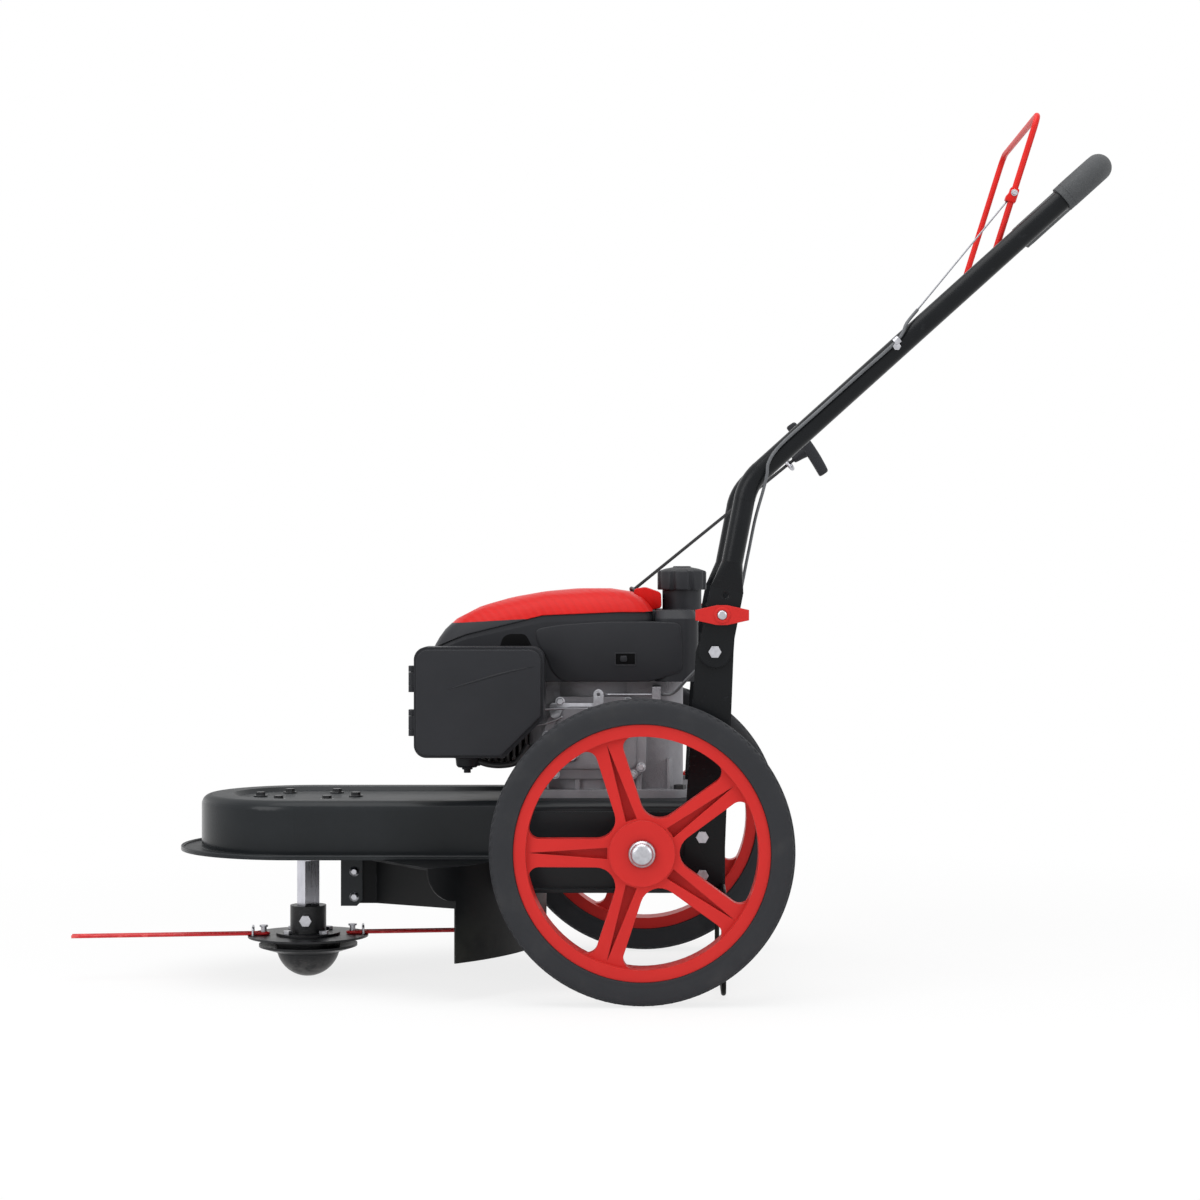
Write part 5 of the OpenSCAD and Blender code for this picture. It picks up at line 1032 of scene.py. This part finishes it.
def handle_enamel():
    material, place = start("handle_enamel")
    peel = place.grain(0.0022, 1.0)
    smudge = place.grain(0.06, 4.0)
    scuff = place.stretched(1, 3, 1).grain(0.012, 5.0).between(0.62, 0.8)
    fresh = smudge.mix(tone(13, 15, 17), tone(23, 25, 28))
    colour = (0.2 * scuff).mix(fresh, tone(74, 76, 80))
    return surface(material, place, colour, 0.2 + 0.14 * smudge + 0.2 * scuff, peel, 0.00003, 0.0045,
                   Specular_IOR_Level=0.14, Coat_Weight=0.04, Coat_Roughness=0.08)


def red_enamel():
    material, place = start("red_enamel")
    peel = place.grain(0.0016, 1.0)
    flow = place.grain(0.05)
    chip = place.grain(0.006, 4.0).between(0.7, 0.82)
    colour = (0.3 * chip).mix(flow.mix(tone(196, 24, 20), tone(216, 36, 30)), tone(226, 96, 88))
    return surface(material, place, colour, 0.3 + 0.14 * flow, peel, 0.000008, 0.0008,
                   Specular_IOR_Level=0.2)


dress_nodes(("handle_tube", "left_upright", "right_upright"), handle_enamel())
dress_nodes(("grip_sleeve",), grip_foam())
dress_nodes(("handle_fittings",), bright)
enamel = red_enamel()
BAIL_LEN, BAIL_D, BAIL_PIN = 184, 7.5, 176.4
BAIL_FOOT_R, BAIL_CORNER_R, BEND_STEPS = 8, 18, 8
half_bail = [(BAIL_PIN, 0)]
for step in range(BEND_STEPS + 1):
    angle = radians(90 * step / BEND_STEPS)
    half_bail.append((BAIL_Y + BAIL_FOOT_R * (1 - sin(angle)), BAIL_FOOT_R * (1 - cos(angle))))
for step in range(BEND_STEPS + 1):
    angle = radians(90 * step / BEND_STEPS)
    half_bail.append((BAIL_Y - BAIL_CORNER_R * (1 - cos(angle)), BAIL_LEN - BAIL_CORNER_R * (1 - sin(angle))))
bail_course = []
for side, half in ((-1, half_bail), (1, half_bail[::-1])):
    for across, along in half:
        bail_course.append(mm(BAIL_X + along * sin(radians(BAIL_LEAN)), side * across,
                              BAIL_Z + along * cos(radians(BAIL_LEAN))))
bail_rod = tube_piece("bail_rod", bail_course, BAIL_D / 2000, sides=16, up=Vector((1, 0, 0)))
fit(bail_rod, enamel, "bail")
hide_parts("bail")
CLIP = [(-7.5, -9), (-7.5, -3), (-5.2, 1), (-5.2, 8), (5.2, 8), (5.2, -9)]
CLIP_HALF_T = 5.6
CLIP_BOLT_W, CLIP_BOLT_H, CLIP_BOLT_SINK = 5.5, 4, 0.2
clip_outline = []
for across, along in CLIP:
    c, s = cos(radians(BAIL_LEAN)), sin(radians(BAIL_LEAN))
    clip_outline.append((clip_x + across * c + along * s, clip_z - across * s + along * c))
clip_back, clip_face = -BAIL_Y + CLIP_HALF_T, -BAIL_Y - CLIP_HALF_T
clip = plate_piece("bail_clip", rounded(clip_outline, 2), clip_back, clip_face, 1.0, enamel,
                   body="bail")
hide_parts("bail_hook")
clip_bolt_form = bmesh.new()
clip_bolt_seat = mm(clip_x + 1, clip_face + CLIP_BOLT_SINK, clip_z + 2)
hex_form(clip_bolt_form, clip_bolt_seat, (0, -1, 0), CLIP_BOLT_W, CLIP_BOLT_H)
fit(mesh_piece("bail_clip_bolt", clip_bolt_form), bright, "bail", sharp=30)
dress_nodes(("left_wing_knob", "right_wing_knob"), red)
SCREW_PROFILE = [(0, -1), (5.6, -1), (5.6, 0.5), (5.0, 1.2), (3.6, 1.7), (0, 1.9)]
COLLAR_PROFILE = [(6.0, -1), (9.6, -1), (9.6, 0.6), (8.8, 1.2), (6.6, 1.2), (6.0, 0.6)]
for side, word in ((-1, "left"), (1, "right")):
    knob_low, knob_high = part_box(word + "_wing_knob")
    face_y = knob_low.y if side < 0 else knob_high.y
    middle = (knob_low + knob_high) / 2
    seat = Vector((middle.x, face_y, middle.z))
    screw_form = turn_form(bmesh.new(), seat, (0, side, 0), SCREW_PROFILE)
    fit(mesh_piece(word + "_knob_screw", screw_form), bright, word + "_knob", sharp=40)
    collar_form = turn_form(bmesh.new(), seat, (0, side, 0), COLLAR_PROFILE, loop=True)
    fit(mesh_piece(word + "_knob_collar", collar_form), red, word + "_knob", sharp=40)
GRIP_X, GRIP_Y, GRIP_Z, GRIP_FALL = 210.36, 151.58, 653.22, 55.5
GRIP_HALF_LEN, GRIP_HALF_W, GRIP_TAPER, GRIP_BOW, GRIP_HALF_T = 38.7, 7.2, 0.6, 2.5, 7.5
GRIP_CORNER_R, GRIP_EDGE = 3.6, 2.4
GRIP_STEPS = 4
grip_centre = Vector((GRIP_X, GRIP_Z))
STEM_PROFILE = [(0, 4), (8.2, 4), (7.4, 9), (6.0, 15), (5.0, 21), (4.4, 23.4), (3.6, 24.2), (0, 24.2)]
grip_along = Vector((cos(radians(GRIP_FALL)), -sin(radians(GRIP_FALL))))
grip_out = Vector((-grip_along.y, grip_along.x))
grip_outline = []
for edge in (1, -1):
    for step in range(-GRIP_STEPS, GRIP_STEPS + 1):
        share = edge * step / GRIP_STEPS
        out = edge * (GRIP_HALF_W - GRIP_TAPER * share ** 2) + GRIP_BOW * (0.35 - share ** 2)
        grip_outline.append(tuple(grip_centre + grip_along * GRIP_HALF_LEN * share + grip_out * out))
grip_form = bmesh.new()
for face in (-1, 1):
    y_face = GRIP_Y + face * GRIP_HALF_T
    plate_form(grip_form, rounded(grip_outline, GRIP_CORNER_R), GRIP_Y, y_face, GRIP_EDGE)
grip_middle = mm(GRIP_X, GRIP_Y, GRIP_Z)
turn_form(grip_form, grip_middle, ROPE_STEM - grip_middle, STEM_PROFILE)
grip = mesh_piece("pull_grip", grip_form)
fit(grip, moulding, "starter", sharp=40)
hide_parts("starter_grip")
